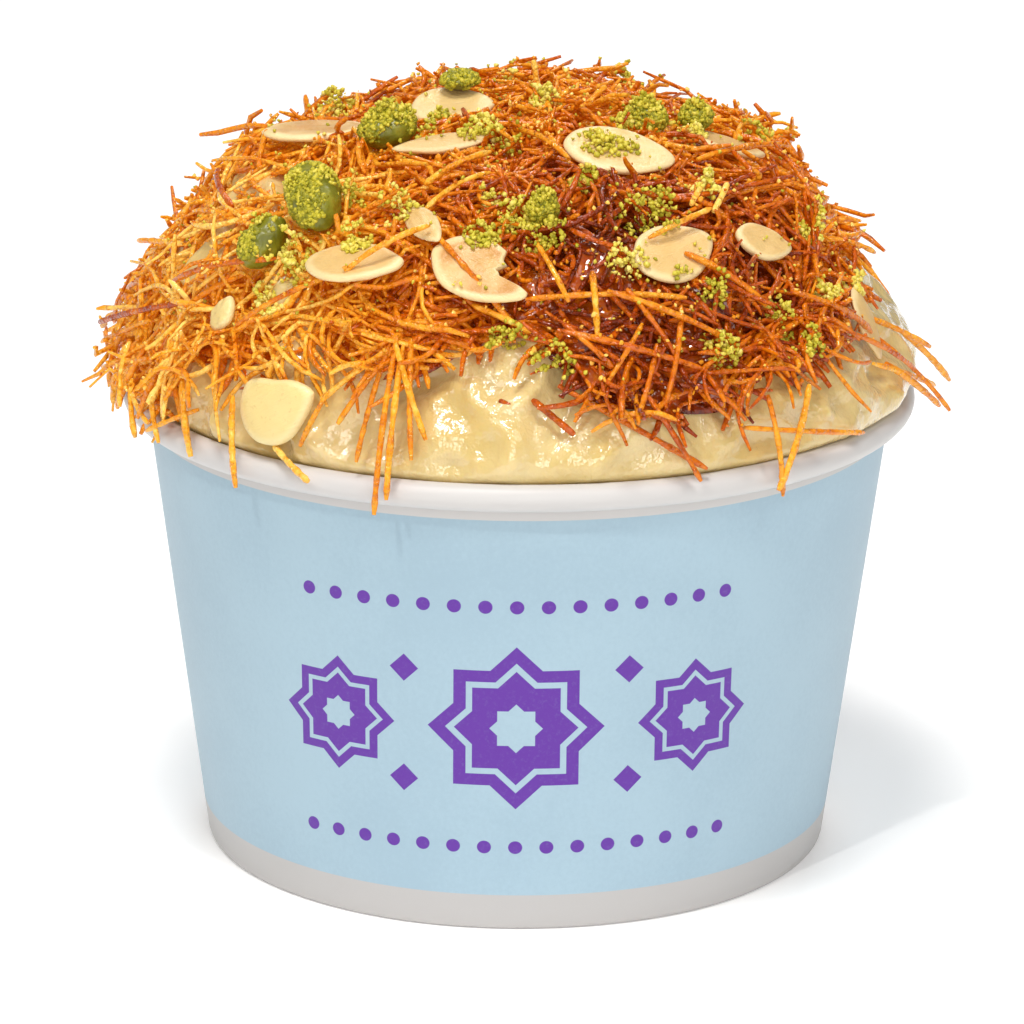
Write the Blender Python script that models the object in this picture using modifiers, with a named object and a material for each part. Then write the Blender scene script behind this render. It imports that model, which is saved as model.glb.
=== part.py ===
"""Kunafa in a paper tub: cream heaped above the rim, a crown of fried pastry shreds, nuts on top.

Metres, +Z up. The origin is the middle of the ring that the tub stands on, and -Y is the front.
"""

import math
import random

import bmesh
import bpy
from mathutils import Matrix, Vector, noise
from mathutils.bvhtree import BVHTree

# Paper tub
RIM_RADIUS = 0.0575
RIM_HEIGHT = 0.0669
CURL_RADIUS = 0.0019
CURL_START = math.radians(-112)
CURL_STEPS = 6
TOP_RADIUS = 0.05415
BASE_RADIUS = 0.04545
BOARD = 0.00045
GAP = 0.0003
BAND_HEIGHT = 0.0055
FOLD_HEIGHT = 0.005
SKIRT_BOARD = 0.0004
RECESS_DEPTH = 0.0062
TURN_STEPS = 48
MERGE = 0.00001

# Cream and shreds are measured from the middle of the rim's plane
MOUND_HEIGHT = 0.067
MOUND_POWER = 2.35
HEAP_REACH = 0.0562
HEAP_RISE = 0.0405
CREAM_RISE = 0.0300
CREAM_REACH = 0.0538
CREAM_BULGE = 0.0020
CREAM_BULGE_AT = math.radians(5)
CREAM_PINCH = 0.0532
CREAM_CLEAR = 0.00045
PINCH_FROM = math.radians(83)
PINCH_TO = math.radians(89)
CREAM_FOLD = 0.0014
CREAM_FOLDS_PER_METRE = 62.0
HEAP_LUMP = 0.0018
HEAP_LUMPS_PER_METRE = 75.0
HEAP_GAP = 0.0008
HEAP_EDGE = 0.0022
CREAM_SEGMENTS = 40
CREAM_RINGS = 21
HEAP_SEGMENTS = 36
HEAP_RINGS = 18

# How far down from the crown the shreds reach, in degrees, by azimuth in degrees (front is 270)
HEAP_EDGES = (
    (0, 66),
    (25, 70),
    (50, 77),
    (80, 79),
    (110, 73),
    (140, 79),
    (165, 84),
    (190, 85),
    (215, 82),
    (235, 78),
    (252, 75),
    (264, 69),
    (273, 70),
    (284, 79),
    (300, 81),
    (322, 78),
    (342, 70),
)

# Pastry shreds
SEED = 20
SHRED_RADIUS = 0.00054
SHRED_COUNT = 96
SHRED_LENGTHS = (0.008, 0.018)
SHRED_SAGS = (18.0, 30.0, 44.0)
SHRED_SUNK = 0.0007
SHRED_CLEAR = 0.00035
SHRED_LOOSE = 0.0034
SHORTEST_SHRED = 0.005
LONG_SHRED = 0.012
FRINGE_COUNT = 30
FRINGE_LENGTHS = (0.008, 0.014)
FRINGE_LOOSE = 0.0065
FRINGE_SAG = 26.0
OVERHANG = 0.0617
OVERHANG_IN_DEPTH = 0.0568
GOLDEN_ANGLE = math.pi * (3 - math.sqrt(5))

# The two shreds that reach furthest out: azimuth and angle of the root in degrees, and the tip
OUTERMOST_SHREDS = (
    (184, 68, (-OVERHANG, -0.0075, 0.0735)),
    (347, 62, (OVERHANG, -0.0140, 0.0700)),
)

# Crumbs of ground pistachio: azimuth and angle from the crown, in degrees, and how many
CRUMB_RADIUS = 0.0011
CRUMB_SPREAD = 0.0030
CRUMB_CLUSTERS = (
    (266, 45, 5),
    (247, 18, 2),
    (286, 39, 2),
    (275, 51, 2),
    (243, 49, 2),
    (228, 60, 3),
    (301, 47, 4),
    (314, 46, 2),
    (333, 57, 3),
    (303, 64, 3),
    (289, 57, 2),
    (328, 67, 2),
    (317, 73, 2),
    (275, 68, 2),
    (60, 40, 3),
    (120, 50, 3),
)

# Flaked almonds: azimuth and angle from the crown of the middle, length, width, thickness,
# turn about the surface's normal, tilt about the flake's length, pitch about its width, and
# whether a bite is broken out
ALMONDS = {
    "almond_left_rim": dict(at=(189, 38), size=(0.0170, 0.0092, 0.0013), turn=2, tilt=0, pitch=16),
    "almond_crown": dict(at=(195, 14), size=(0.0124, 0.0112, 0.0014), turn=6, tilt=15),
    "almond_sliver": dict(at=(237, 28), size=(0.0138, 0.0052, 0.0020), turn=4, tilt=2),
    "almond_right_crown": dict(at=(306, 31), size=(0.0165, 0.0112, 0.0013), turn=-8, tilt=10),
    "almond_right_edge_on": dict(at=(350, 39), size=(0.0124, 0.0080, 0.0012), turn=12, tilt=-4),
    "almond_front_left": dict(at=(241, 59), size=(0.0152, 0.0088, 0.0014), turn=-14, tilt=-20),
    "almond_broken": dict(at=(263, 58), size=(0.0158, 0.0100, 0.0014), turn=-38, tilt=0, bite=True),
    "almond_splinter": dict(at=(251, 51), size=(0.0084, 0.0042, 0.0016), turn=-58, tilt=10),
    "almond_round": dict(at=(299, 56), size=(0.0140, 0.0098, 0.0014), turn=40, tilt=0),
    "almond_small": dict(at=(319, 57), size=(0.0094, 0.0066, 0.0013), turn=14, tilt=0),
    "almond_on_cream": dict(at=(338, 74), size=(0.0114, 0.0052, 0.0017), turn=-42, tilt=0),
    "almond_thick": dict(at=(233, 80), size=(0.0138, 0.0112, 0.0030), turn=22, tilt=0),
    "almond_bit": dict(at=(217, 70), size=(0.0056, 0.0042, 0.0018), turn=50, tilt=0),
    "almond_back": dict(at=(95, 51), size=(0.0150, 0.0096, 0.0013), turn=25, tilt=0),
    "almond_back_left": dict(at=(138, 60), size=(0.0140, 0.0086, 0.0013), turn=-30, tilt=0),
}
ALMOND_SEGMENTS = 12
ALMOND_RINGS = 5
ALMOND_TIP = 0.20
ALMOND_POINT = 0.22
ALMOND_BOW = 0.0006
ALMOND_EDGE = 0.55

# The two wedges of the bite: how far along and across in flake lengths, reach and turn in degrees
BITES = ((0.20, 0.46, 0.26, 20), (0.33, 0.30, 0.17, 65))
BITE_DEPTH = 0.012

# Pistachio kernels: azimuth and angle from the crown, length, width, thickness, turn
PISTACHIOS = {
    "pistachio_large": dict(at=(227, 51), size=(0.0144, 0.0076, 0.0066), turn=-78),
    "pistachio_left": dict(at=(221, 59), size=(0.0084, 0.0056, 0.0050), turn=38),
    "pistachio_chunk": dict(at=(215, 30), size=(0.0088, 0.0070, 0.0050), turn=30),
    "pistachio_crown": dict(at=(178, 12), size=(0.0054, 0.0044, 0.0030), turn=10),
    "pistachio_right": dict(at=(340, 25), size=(0.0062, 0.0050, 0.0036), turn=-20),
    "pistachio_right_bit": dict(at=(354, 33), size=(0.0046, 0.0038, 0.0030), turn=15),
    "pistachio_bit": dict(at=(275, 46), size=(0.0044, 0.0036, 0.0034), turn=60),
    "pistachio_back": dict(at=(62, 64), size=(0.0100, 0.0066, 0.0058), turn=20),
}
PISTACHIO_SEGMENTS = 8
PISTACHIO_RINGS = 6
PISTACHIO_KNOBS = 0.10
NUT_CLEAR = 0.00045
NUT_LIFT = 0.0002
MOST_NUT_LIFTS = 40


def clear_scene():
    """Empty the scene of whatever it starts with."""
    for obj in list(bpy.data.objects):
        bpy.data.objects.remove(obj)


def new_collection(name):
    """Make a collection that is linked to the scene."""
    made = bpy.data.collections.new(name)
    bpy.context.scene.collection.children.link(made)
    return made


def finish(name, colour, roughness):
    """Make a plain surface finish."""
    material = bpy.data.materials.new(name)
    material.use_nodes = True
    shader = material.node_tree.nodes["Principled BSDF"]
    shader.inputs["Base Color"].default_value = (*colour, 1.0)
    shader.inputs["Roughness"].default_value = roughness
    shader.inputs["Metallic"].default_value = 0.0
    material.diffuse_color = (*colour, 1.0)
    return material


def new_object(name, mesh, collection, material):
    """Put a mesh in the scene as one named piece."""
    obj = bpy.data.objects.new(name, mesh)
    collection.objects.link(obj)
    mesh.materials.clear()
    mesh.materials.append(material)
    return obj


def outer_radius(height):
    """Radius of the tub's outer face at a height."""
    return BASE_RADIUS + (TOP_RADIUS - BASE_RADIUS) * height / RIM_HEIGHT


def wall_radius(height):
    """Radius of the middle of the tub's board at a height."""
    return outer_radius(height) - BOARD / 2


def inner_radius(height):
    """Radius of the tub's inside at a height."""
    return outer_radius(height) - BOARD


def skirt_radius(height):
    """Radius of the middle of the bottom's skirt, which the folded foot grips."""
    return inner_radius(height) - GAP - SKIRT_BOARD / 2


def turned_shell(name, profile, board, collection, material):
    """Turn an open line of board about the axis and give it its thickness."""
    mesh = bpy.data.meshes.new(name)
    line = [(radius, 0.0, height) for radius, height in profile]
    mesh.from_pydata(line, [(i, i + 1) for i in range(len(line) - 1)], [])
    obj = new_object(name, mesh, collection, material)
    turn = obj.modifiers.new("turn", "SCREW")
    turn.angle = math.tau
    turn.steps = TURN_STEPS
    turn.render_steps = TURN_STEPS
    turn.use_merge_vertices = True
    turn.merge_threshold = MERGE
    thick = obj.modifiers.new("board", "SOLIDIFY")
    thick.thickness = board
    thick.offset = 0.0
    thick.use_even_offset = True
    return obj


def tub_profile():
    """Mid-line of the tub's board: its curled rim, its wall, its foot and the ply folded up inside."""
    curl = CURL_RADIUS - BOARD / 2
    middle = RIM_RADIUS - CURL_RADIUS
    line = []
    for step in range(CURL_STEPS + 1):
        angle = CURL_START + (math.pi - CURL_START) * step / CURL_STEPS
        line.append((middle + curl * math.cos(angle), RIM_HEIGHT + curl * math.sin(angle)))
    channel = SKIRT_BOARD + 2 * GAP + BOARD
    line.append((wall_radius(BAND_HEIGHT), BAND_HEIGHT))
    line.append((wall_radius(0.0), BOARD / 2))
    line.append((wall_radius(0.0) - channel, BOARD / 2))
    line.append((wall_radius(FOLD_HEIGHT) - channel, FOLD_HEIGHT))
    return line


def build_tub(collection, white, blue):
    """The tub: one blank curled at the rim and folded at the foot, printed blue above a white foot."""
    turned = turned_shell("tub_wall", tub_profile(), BOARD, collection, white)
    bpy.context.view_layer.update()
    board = bpy.data.meshes.new_from_object(turned.evaluated_get(bpy.context.evaluated_depsgraph_get()))
    turned.modifiers.clear()
    turned.data = board
    board.name = "tub_wall"
    board.materials.append(blue)
    for face in board.polygons:
        across = math.hypot(face.center.x, face.center.y)
        printed = BAND_HEIGHT < face.center.z < RIM_HEIGHT - 2 * CURL_RADIUS
        face.material_index = int(printed and across > wall_radius(face.center.z))
    return turned


def build_bottom(collection, white):
    """The bottom disc, with the skirt that the tub's foot grips."""
    deck = RECESS_DEPTH + SKIRT_BOARD / 2
    shoulder = deck - SKIRT_BOARD
    hem = BOARD + GAP
    profile = [
        (0.0, deck),
        (skirt_radius(deck) - 2 * SKIRT_BOARD, deck),
        (skirt_radius(shoulder), shoulder),
        (skirt_radius(hem), hem),
    ]
    return turned_shell("tub_bottom", profile, SKIRT_BOARD, collection, white)


def smooth_step(low, high, value):
    """Ease from 0 to 1 as the value goes from low to high."""
    share = min(max((value - low) / (high - low), 0.0), 1.0)
    return share * share * (3 - 2 * share)


def direction(azimuth, polar):
    """Unit vector at an azimuth and an angle down from the crown, in radians."""
    across = math.sin(polar)
    return Vector((across * math.cos(azimuth), across * math.sin(azimuth), math.cos(polar)))


def dome(polar, reach, rise):
    """Distance from the mound's middle to a dome with full shoulders."""
    across = max(math.sin(polar), 1e-9) / reach
    upward = max(math.cos(polar), 0.0) / rise
    return (across**MOUND_POWER + upward**MOUND_POWER) ** (-1.0 / MOUND_POWER)


def folds(azimuth, polar):
    """Height of the soft folds that a spoon leaves in the cream."""
    place = direction(azimuth, polar) * (CREAM_REACH * CREAM_FOLDS_PER_METRE)
    bent = place + Vector((0.0, 0.0, 0.6 * noise.noise(place * 0.8)))
    ridge = 1.0 - abs(noise.noise(bent)) * 2.6
    return CREAM_FOLD * (ridge - 0.45)


def heap_edge(azimuth):
    """Angle from the crown at which the shreds end."""
    degrees = math.degrees(azimuth) % 360
    ring = [(HEAP_EDGES[-1][0] - 360, HEAP_EDGES[-1][1]), *HEAP_EDGES, (360, HEAP_EDGES[0][1])]
    for (a, low), (b, high) in zip(ring, ring[1:]):
        if a <= degrees <= b:
            return math.radians(low + (high - low) * smooth_step(a, b, degrees))
    return math.radians(HEAP_EDGES[0][1])


def cream_distance(azimuth, polar):
    """Distance from the mound's middle to the cream's face, which is smooth under the shreds."""
    bulge = CREAM_BULGE * max(math.cos(azimuth - CREAM_BULGE_AT), 0.0) ** 2
    bare = smooth_step(0.97, 1.12, polar / heap_edge(azimuth))
    face = dome(polar, CREAM_REACH + bulge, CREAM_RISE) + folds(azimuth, polar) * bare
    pinch = smooth_step(PINCH_FROM, PINCH_TO, polar)
    return face + (CREAM_PINCH - face) * pinch


def heap_distance(azimuth, polar):
    """Distance from the mound's middle to the face of the shreds, before the loose ones."""
    place = direction(azimuth, polar) * (HEAP_REACH * HEAP_LUMPS_PER_METRE)
    lump = HEAP_LUMP * noise.noise(place)
    face = dome(polar, HEAP_REACH, HEAP_RISE) + lump
    under = cream_distance(azimuth, polar) + HEAP_GAP
    fade = smooth_step(0.72, 1.0, polar / heap_edge(azimuth))
    edge = under + HEAP_EDGE * 0.5
    return max(face + (edge - face) * fade, edge)


def mound_point(azimuth, polar, distance):
    """A point at a distance from the middle of the rim's plane."""
    return direction(azimuth, polar) * distance + Vector((0.0, 0.0, MOUND_HEIGHT))


def heap_point(azimuth, polar):
    """A point on the face of the shreds."""
    return mound_point(azimuth, polar, heap_distance(azimuth, polar))


def top_distance(azimuth, polar):
    """Distance to whatever a nut rests on: shreds, or the cream past their edge."""
    if polar < heap_edge(azimuth):
        return heap_distance(azimuth, polar)
    return cream_distance(azimuth, polar)


def surface_normal(azimuth, polar):
    """Outward normal of the mound without its lumps."""
    step = 0.03
    spots = [
        mound_point(azimuth + a, polar + b, dome(polar + b, HEAP_REACH, HEAP_RISE))
        for a, b in ((-step, 0), (step, 0), (0, -step), (0, step))
    ]
    normal = (spots[3] - spots[2]).cross(spots[1] - spots[0]).normalized()
    return normal if normal.dot(direction(azimuth, polar)) > 0 else -normal


def angles_of(point):
    """Azimuth, angle from the crown and distance of a point, from the mound's middle."""
    arm = point - Vector((0.0, 0.0, MOUND_HEIGHT))
    return math.atan2(arm.y, arm.x), arm.angle(Vector((0, 0, 1)), 0.0), arm.length


def shaped_sphere(name, segments, rings, place):
    """A UV sphere whose points are moved by place(azimuth, share of the way down)."""
    shape = bmesh.new()
    bmesh.ops.create_uvsphere(shape, u_segments=segments, v_segments=rings, radius=1.0)
    for vertex in shape.verts:
        across = math.hypot(vertex.co.x, vertex.co.y)
        down = math.atan2(across, vertex.co.z) / math.pi
        azimuth = math.atan2(vertex.co.y, vertex.co.x) if across > 1e-6 else 0.0
        vertex.co = place(azimuth, down)
    bmesh.ops.recalc_face_normals(shape, faces=shape.faces)
    mesh = bpy.data.meshes.new(name)
    shape.to_mesh(mesh)
    shape.free()
    return mesh


def place_cream(azimuth, down):
    """Cream: the dome above the rim's plane, then the filling down to the tub's bottom."""
    ring = round(down * CREAM_RINGS)
    floor = RECESS_DEPTH + SKIRT_BOARD + GAP
    filling = (0.061, 0.035, floor + 0.0012)
    domed = CREAM_RINGS - len(filling) - 2
    if ring <= domed:
        polar = math.pi / 2 * min(ring / domed, 1.0)
        return mound_point(azimuth, polar, cream_distance(azimuth, polar))
    level = ring - domed - 1
    if level < len(filling):
        height = filling[level]
        radius = inner_radius(height) - CREAM_CLEAR
    else:
        height = floor
        radius = (inner_radius(floor) - CREAM_CLEAR - 0.0016) if level == len(filling) else 0.0
    return Vector((radius * math.cos(azimuth), radius * math.sin(azimuth), height))


def place_heap(azimuth, down):
    """Bare core of the shreds: its face down to the edge, then its underside back to the crown."""
    edge = heap_edge(azimuth)
    half = HEAP_RINGS // 2
    ring = round(down * HEAP_RINGS)
    if ring < half:
        polar = edge * ring / half
        return heap_point(azimuth, polar)
    if ring == half:
        return mound_point(azimuth, edge, cream_distance(azimuth, edge) + HEAP_GAP + HEAP_EDGE / 2)
    polar = edge * (HEAP_RINGS - ring) / half * 0.985
    return mound_point(azimuth, polar, cream_distance(azimuth, polar) + HEAP_GAP)


def nut_frame(at, turn, tilt=0, pitch=0):
    """Axes of a nut that lies on the mound: its length, its width and its face."""
    azimuth, polar = (math.radians(value) for value in at)
    normal = surface_normal(azimuth, polar)
    side = Vector((1.0, 0.0, 0.0)) - normal * normal.x
    side = side.normalized() if side.length > 0.1 else Vector((0.0, 1.0, 0.0)).cross(normal)
    basis = Matrix((side, normal.cross(side), normal)).transposed()
    spin = Matrix.Rotation(math.radians(turn), 3, "Z") @ Matrix.Rotation(math.radians(tilt), 3, "X")
    raised = Matrix.Rotation(math.radians(pitch), 3, "Y")
    return basis @ spin @ raised, normal, azimuth, polar


def touches(mesh, trees):
    """True if a mesh crosses one of the pieces, or lies closer to it than nuts may."""
    own = BVHTree.FromPolygons([v.co for v in mesh.vertices], [f.vertices[:] for f in mesh.polygons])
    for tree in trees:
        if own.overlap(tree):
            return True
        if any(tree.find_nearest(v.co, NUT_CLEAR)[0] is not None for v in mesh.vertices):
            return True
    return False


def settle(mesh, trees, at, turn, tilt=0, pitch=0):
    """Lay a nut on the mound, lifted until it is just clear of the mound and of the other nuts."""
    axes, normal, azimuth, polar = nut_frame(at, turn, tilt, pitch)
    start = mound_point(azimuth, polar, top_distance(azimuth, polar))
    laid = [start + axes @ vertex.co for vertex in mesh.vertices]
    lift = 0.0
    for point in laid:
        around, below, distance = angles_of(point)
        face = top_distance(around, below)
        slant = max(normal.dot(direction(around, below)), 0.3)
        lift = max(lift, (face + NUT_CLEAR - distance) / slant)
    for vertex, point in zip(mesh.vertices, laid):
        vertex.co = point + normal * lift
    for _ in range(MOST_NUT_LIFTS):
        if not touches(mesh, trees):
            break
        for vertex in mesh.vertices:
            vertex.co += normal * NUT_LIFT
    mesh.update()
    trees.append(
        BVHTree.FromPolygons([v.co for v in mesh.vertices], [f.vertices[:] for f in mesh.polygons])
    )


def almond_point(size, azimuth, down):
    """A point of a flaked almond: an oval with one pointed end, thin at its rim, slightly bowed."""
    length, width, thickness = size
    height = math.cos(down * math.pi)
    out = math.sin(down * math.pi) ** ALMOND_EDGE
    along = out * math.cos(azimuth)
    taper = (1.0 - ALMOND_TIP * along) * (1.0 - ALMOND_POINT * along * along)
    across = out * math.sin(azimuth) * taper
    crown = math.copysign(abs(height) ** 0.8, height) * thickness / 2
    bow = ALMOND_BOW * (1.0 - along * along)
    return Vector((along * length / 2, across * width / 2, crown + bow))


def bite_almond(obj, collection):
    """Break a jagged piece out of an almond's side with two wedges."""
    flake = ALMONDS[obj.name]
    length = flake["size"][0]
    axes = nut_frame(flake["at"], flake["turn"], flake["tilt"])[0]
    middle = sum((vertex.co for vertex in obj.data.vertices), Vector()) / len(obj.data.vertices)
    for number, (along, across, reach, turn) in enumerate(BITES):
        shape = bmesh.new()
        radius = length * reach
        bmesh.ops.create_cone(
            shape, cap_ends=True, segments=3, radius1=radius, radius2=radius, depth=BITE_DEPTH
        )
        mesh = bpy.data.meshes.new(f"bite_{number}")
        shape.to_mesh(mesh)
        shape.free()
        cutter = bpy.data.objects.new(f"bite_{number}", mesh)
        collection.objects.link(cutter)
        cutter.hide_render = True
        cutter.display_type = "WIRE"
        place = middle + axes @ Vector((along * length, across * flake["size"][1], 0.0))
        turned = axes @ Matrix.Rotation(math.radians(turn), 3, "Z")
        cutter.matrix_world = Matrix.Translation(place) @ turned.to_4x4()
        cut = obj.modifiers.new(f"bite_{number}", "BOOLEAN")
        cut.operation = "DIFFERENCE"
        cut.solver = "EXACT"
        cut.object = cutter


def build_almonds(collection, cutters, trees, material):
    """Every flaked almond, laid on the bare core or on the cream."""
    made = []
    for name, flake in ALMONDS.items():
        mesh = shaped_sphere(
            name, ALMOND_SEGMENTS, ALMOND_RINGS, lambda a, d, size=flake["size"]: almond_point(size, a, d)
        )
        settle(mesh, trees, flake["at"], flake["turn"], flake["tilt"], flake.get("pitch", 0))
        obj = new_object(name, mesh, collection, material)
        if flake.get("bite"):
            bite_almond(obj, cutters)
        made.append(obj)
    return made


def pistachio_point(size, azimuth, down):
    """A point of a pistachio kernel: a blunt oval with a shallow seam along its top."""
    length, width, thickness = size
    height = math.cos(down * math.pi)
    out = math.sin(down * math.pi)
    along = out * math.cos(azimuth)
    across = out * math.sin(azimuth) * (1.0 - 0.12 * along)
    place = Vector((along, across, height)) * 2.2 + Vector(size) * 900
    knob = 1.0 + PISTACHIO_KNOBS * noise.noise(place)
    return Vector((along * length / 2, across * width / 2, height * thickness / 2)) * knob


def build_pistachios(collection, trees, material):
    """Every pistachio kernel, laid on the bare core or on an almond."""
    made = []
    for name, kernel in PISTACHIOS.items():
        mesh = shaped_sphere(
            name,
            PISTACHIO_SEGMENTS,
            PISTACHIO_RINGS,
            lambda a, d, size=kernel["size"]: pistachio_point(size, a, d),
        )
        settle(mesh, trees, kernel["at"], kernel["turn"])
        made.append(new_object(name, mesh, collection, material))
    return made


def search_trees(objects):
    """The faces of each object, arranged for finding the nearest one."""
    bpy.context.view_layer.update()
    graph = bpy.context.evaluated_depsgraph_get()
    return [BVHTree.FromObject(obj, graph) for obj in objects]


def clears_pieces(point, trees, need=SHRED_RADIUS * 1.45 + SHRED_CLEAR):
    """True if a point is outside of every piece and at least so far from it."""
    for tree in trees:
        near, normal, _, distance = tree.find_nearest(point, 0.012)
        if near is not None and (distance < need or (point - near).dot(normal) < 0):
            return False
    return True


def clears_tub(point):
    """True if a shred's point is clear of the curled rim and the wall under it."""
    across = math.hypot(point.x, point.y)
    curl = math.hypot(across - (RIM_RADIUS - CURL_RADIUS), point.z - RIM_HEIGHT)
    need = SHRED_RADIUS * 1.45 + SHRED_CLEAR
    if curl < CURL_RADIUS + need:
        return False
    return point.z > RIM_HEIGHT or across > outer_radius(point.z) + need


def inside_core(point):
    """True if a point is well inside the bare core."""
    azimuth, polar, distance = angles_of(point)
    if polar > heap_edge(azimuth) * 0.97:
        return False
    return distance < heap_distance(azimuth, polar) - SHRED_RADIUS * 0.5


def stands_off(point):
    """How far a point is above the bare core, or above the cream past the core's edge."""
    azimuth, polar, distance = angles_of(point)
    return distance - top_distance(azimuth, min(polar, math.pi / 2))


def allowed_path(path, trees, loose):
    """The stretch of a shred, from its root, that is clear of cream, tub and nuts, and lies close."""
    kept = []
    for point in path:
        across = math.hypot(point.x, point.y)
        fits = clears_tub(point) and clears_pieces(point, trees) and stands_off(point) < loose
        if not fits or across > OVERHANG - SHRED_RADIUS or abs(point.y) > OVERHANG_IN_DEPTH:
            break
        kept.append(point)
    return kept


def shred_path(root, heading, normal, length, rise, sag):
    """Points of a shred that starts under the surface and bends back towards it."""
    fine = 16
    path = []
    for step in range(fine + 1):
        run = length * step / fine
        lift = run * math.sin(rise) - sag * run * run / 2
        path.append(root + heading * (run * math.cos(rise)) + normal * lift)
    return path


def thin_out(path):
    """The three or four points of a path that its solid is made from."""
    last = len(path) - 1
    count = 4 if (path[-1] - path[0]).length > LONG_SHRED else 3
    return [path[round(last * i / (count - 1))] for i in range(count)]


def tube(name, path, radius, collection):
    """One shred: a bevelled curve made a mesh, with its caps welded."""
    curve = bpy.data.curves.new(name, "CURVE")
    curve.dimensions = "3D"
    curve.bevel_depth = radius
    curve.bevel_resolution = 0
    curve.use_fill_caps = True
    spline = curve.splines.new("POLY")
    spline.points.add(len(path) - 1)
    for knot, point in zip(spline.points, path):
        knot.co = (*point, 1.0)
    wire = bpy.data.objects.new(name, curve)
    collection.objects.link(wire)
    bpy.context.view_layer.update()
    mesh = bpy.data.meshes.new_from_object(wire.evaluated_get(bpy.context.evaluated_depsgraph_get()))
    bpy.data.objects.remove(wire)
    bpy.data.curves.remove(curve)
    shape = bmesh.new()
    shape.from_mesh(mesh)
    bmesh.ops.remove_doubles(shape, verts=shape.verts, dist=MERGE)
    bmesh.ops.recalc_face_normals(shape, faces=shape.faces)
    shape.to_mesh(mesh)
    shape.free()
    obj = bpy.data.objects.new(name, mesh)
    collection.objects.link(obj)
    return obj


def shred_paths(trees, draw):
    """Shreds spread evenly over the heap by the golden angle, each lying its own way."""
    paths = []
    for number in range(SHRED_COUNT):
        azimuth = (number * GOLDEN_ANGLE) % math.tau
        edge = heap_edge(azimuth)
        share = (number + 0.5) / SHRED_COUNT
        polar = math.acos(1.0 - share * (1.0 - math.cos(edge * 0.95)))
        normal = surface_normal(azimuth, polar)
        side = normal.orthogonal().normalized()
        for _ in range(4):
            heading = Matrix.Rotation(draw.uniform(0, math.tau), 3, normal) @ side
            length = draw.uniform(*SHRED_LENGTHS)
            rise = math.radians(draw.choice((8, 12, 17, 30)))
            sag = draw.choice(SHRED_SAGS)
            root = heap_point(azimuth, polar) - normal * SHRED_SUNK
            whole = shred_path(root, heading, normal, length, rise, sag)
            path = allowed_path(whole, trees, SHRED_LOOSE)
            if len(path) > 5 and (path[-1] - path[0]).length > SHORTEST_SHRED and inside_core(path[0]):
                paths.append(path)
                break
    return paths


def fringe_paths(trees, draw):
    """Shreds that leave the edge of the heap and hang out over the cream and the rim."""
    paths = []
    turns = [math.tau * (i + draw.uniform(-0.3, 0.3)) / FRINGE_COUNT for i in range(FRINGE_COUNT)]
    for azimuth in turns:
        for _ in range(6):
            polar = heap_edge(azimuth) * draw.uniform(0.80, 0.90)
            normal = surface_normal(azimuth, polar)
            down = (direction(azimuth, polar + 0.05) - direction(azimuth, polar)).normalized()
            down = (down - normal * down.dot(normal)).normalized()
            heading = Matrix.Rotation(draw.uniform(-0.6, 0.6), 3, normal) @ down
            root = heap_point(azimuth, polar) - normal * SHRED_SUNK
            rise = math.radians(draw.uniform(14, 26))
            length = draw.uniform(*FRINGE_LENGTHS)
            whole = shred_path(root, heading, normal, length, rise, FRINGE_SAG)
            path = allowed_path(whole, trees, FRINGE_LOOSE)
            if len(path) > 8 and inside_core(path[0]):
                paths.append(path)
                break
    return paths


def outermost_paths():
    """The two shreds that reach furthest out, one to each side, bowed over the rim."""
    paths = []
    for degrees, down, tip in OUTERMOST_SHREDS:
        azimuth, polar = math.radians(degrees), math.radians(down)
        normal = surface_normal(azimuth, polar)
        root = heap_point(azimuth, polar) - normal * 2 * SHRED_SUNK
        end = Vector(tip)
        crest = (root + end) / 2 + Vector((0.0, 0.0, (root - end).length * 0.18))
        steps = [i / 12 for i in range(13)]
        paths.append([root * (1 - t) ** 2 + crest * 2 * t * (1 - t) + end * t * t for t in steps])
    return paths


def add_crumbs(collection, trees, draw):
    """Ground pistachio that sticks to the shreds, as small faceted crumbs."""
    number = 0
    for degrees, down, count in CRUMB_CLUSTERS:
        for _ in range(count):
            azimuth = math.radians(degrees) + draw.uniform(-1, 1) * CRUMB_SPREAD / 0.04
            polar = math.radians(down) + draw.uniform(-1, 1) * CRUMB_SPREAD / 0.05
            radius = CRUMB_RADIUS * draw.uniform(0.75, 1.25)
            if polar > heap_edge(azimuth) * 0.9:
                continue
            spot = mound_point(azimuth, polar, heap_distance(azimuth, polar) + radius * 0.35)
            if not clears_pieces(spot, trees):
                continue
            shape = bmesh.new()
            bmesh.ops.create_icosphere(shape, subdivisions=1, radius=radius)
            for vertex in shape.verts:
                vertex.co = spot + vertex.co * draw.uniform(0.8, 1.15)
            mesh = bpy.data.meshes.new(f"crumb_{number}")
            shape.to_mesh(mesh)
            shape.free()
            collection.objects.link(bpy.data.objects.new(f"crumb_{number}", mesh))
            number += 1


def keep_one_body(mesh):
    """Drop sealed hollows and loose scraps: only the largest closed surface stays."""
    shape = bmesh.new()
    shape.from_mesh(mesh)
    left = set(shape.verts)
    bodies = []
    while left:
        seed = left.pop()
        body, front = {seed}, [seed]
        while front:
            for edge in front.pop().link_edges:
                for vertex in edge.verts:
                    if vertex in left:
                        left.discard(vertex)
                        body.add(vertex)
                        front.append(vertex)
        bodies.append(body)
    main = max(bodies, key=len)
    bmesh.ops.delete(shape, geom=[v for v in shape.verts if v not in main], context="VERTS")
    shape.to_mesh(mesh)
    shape.free()


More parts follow.
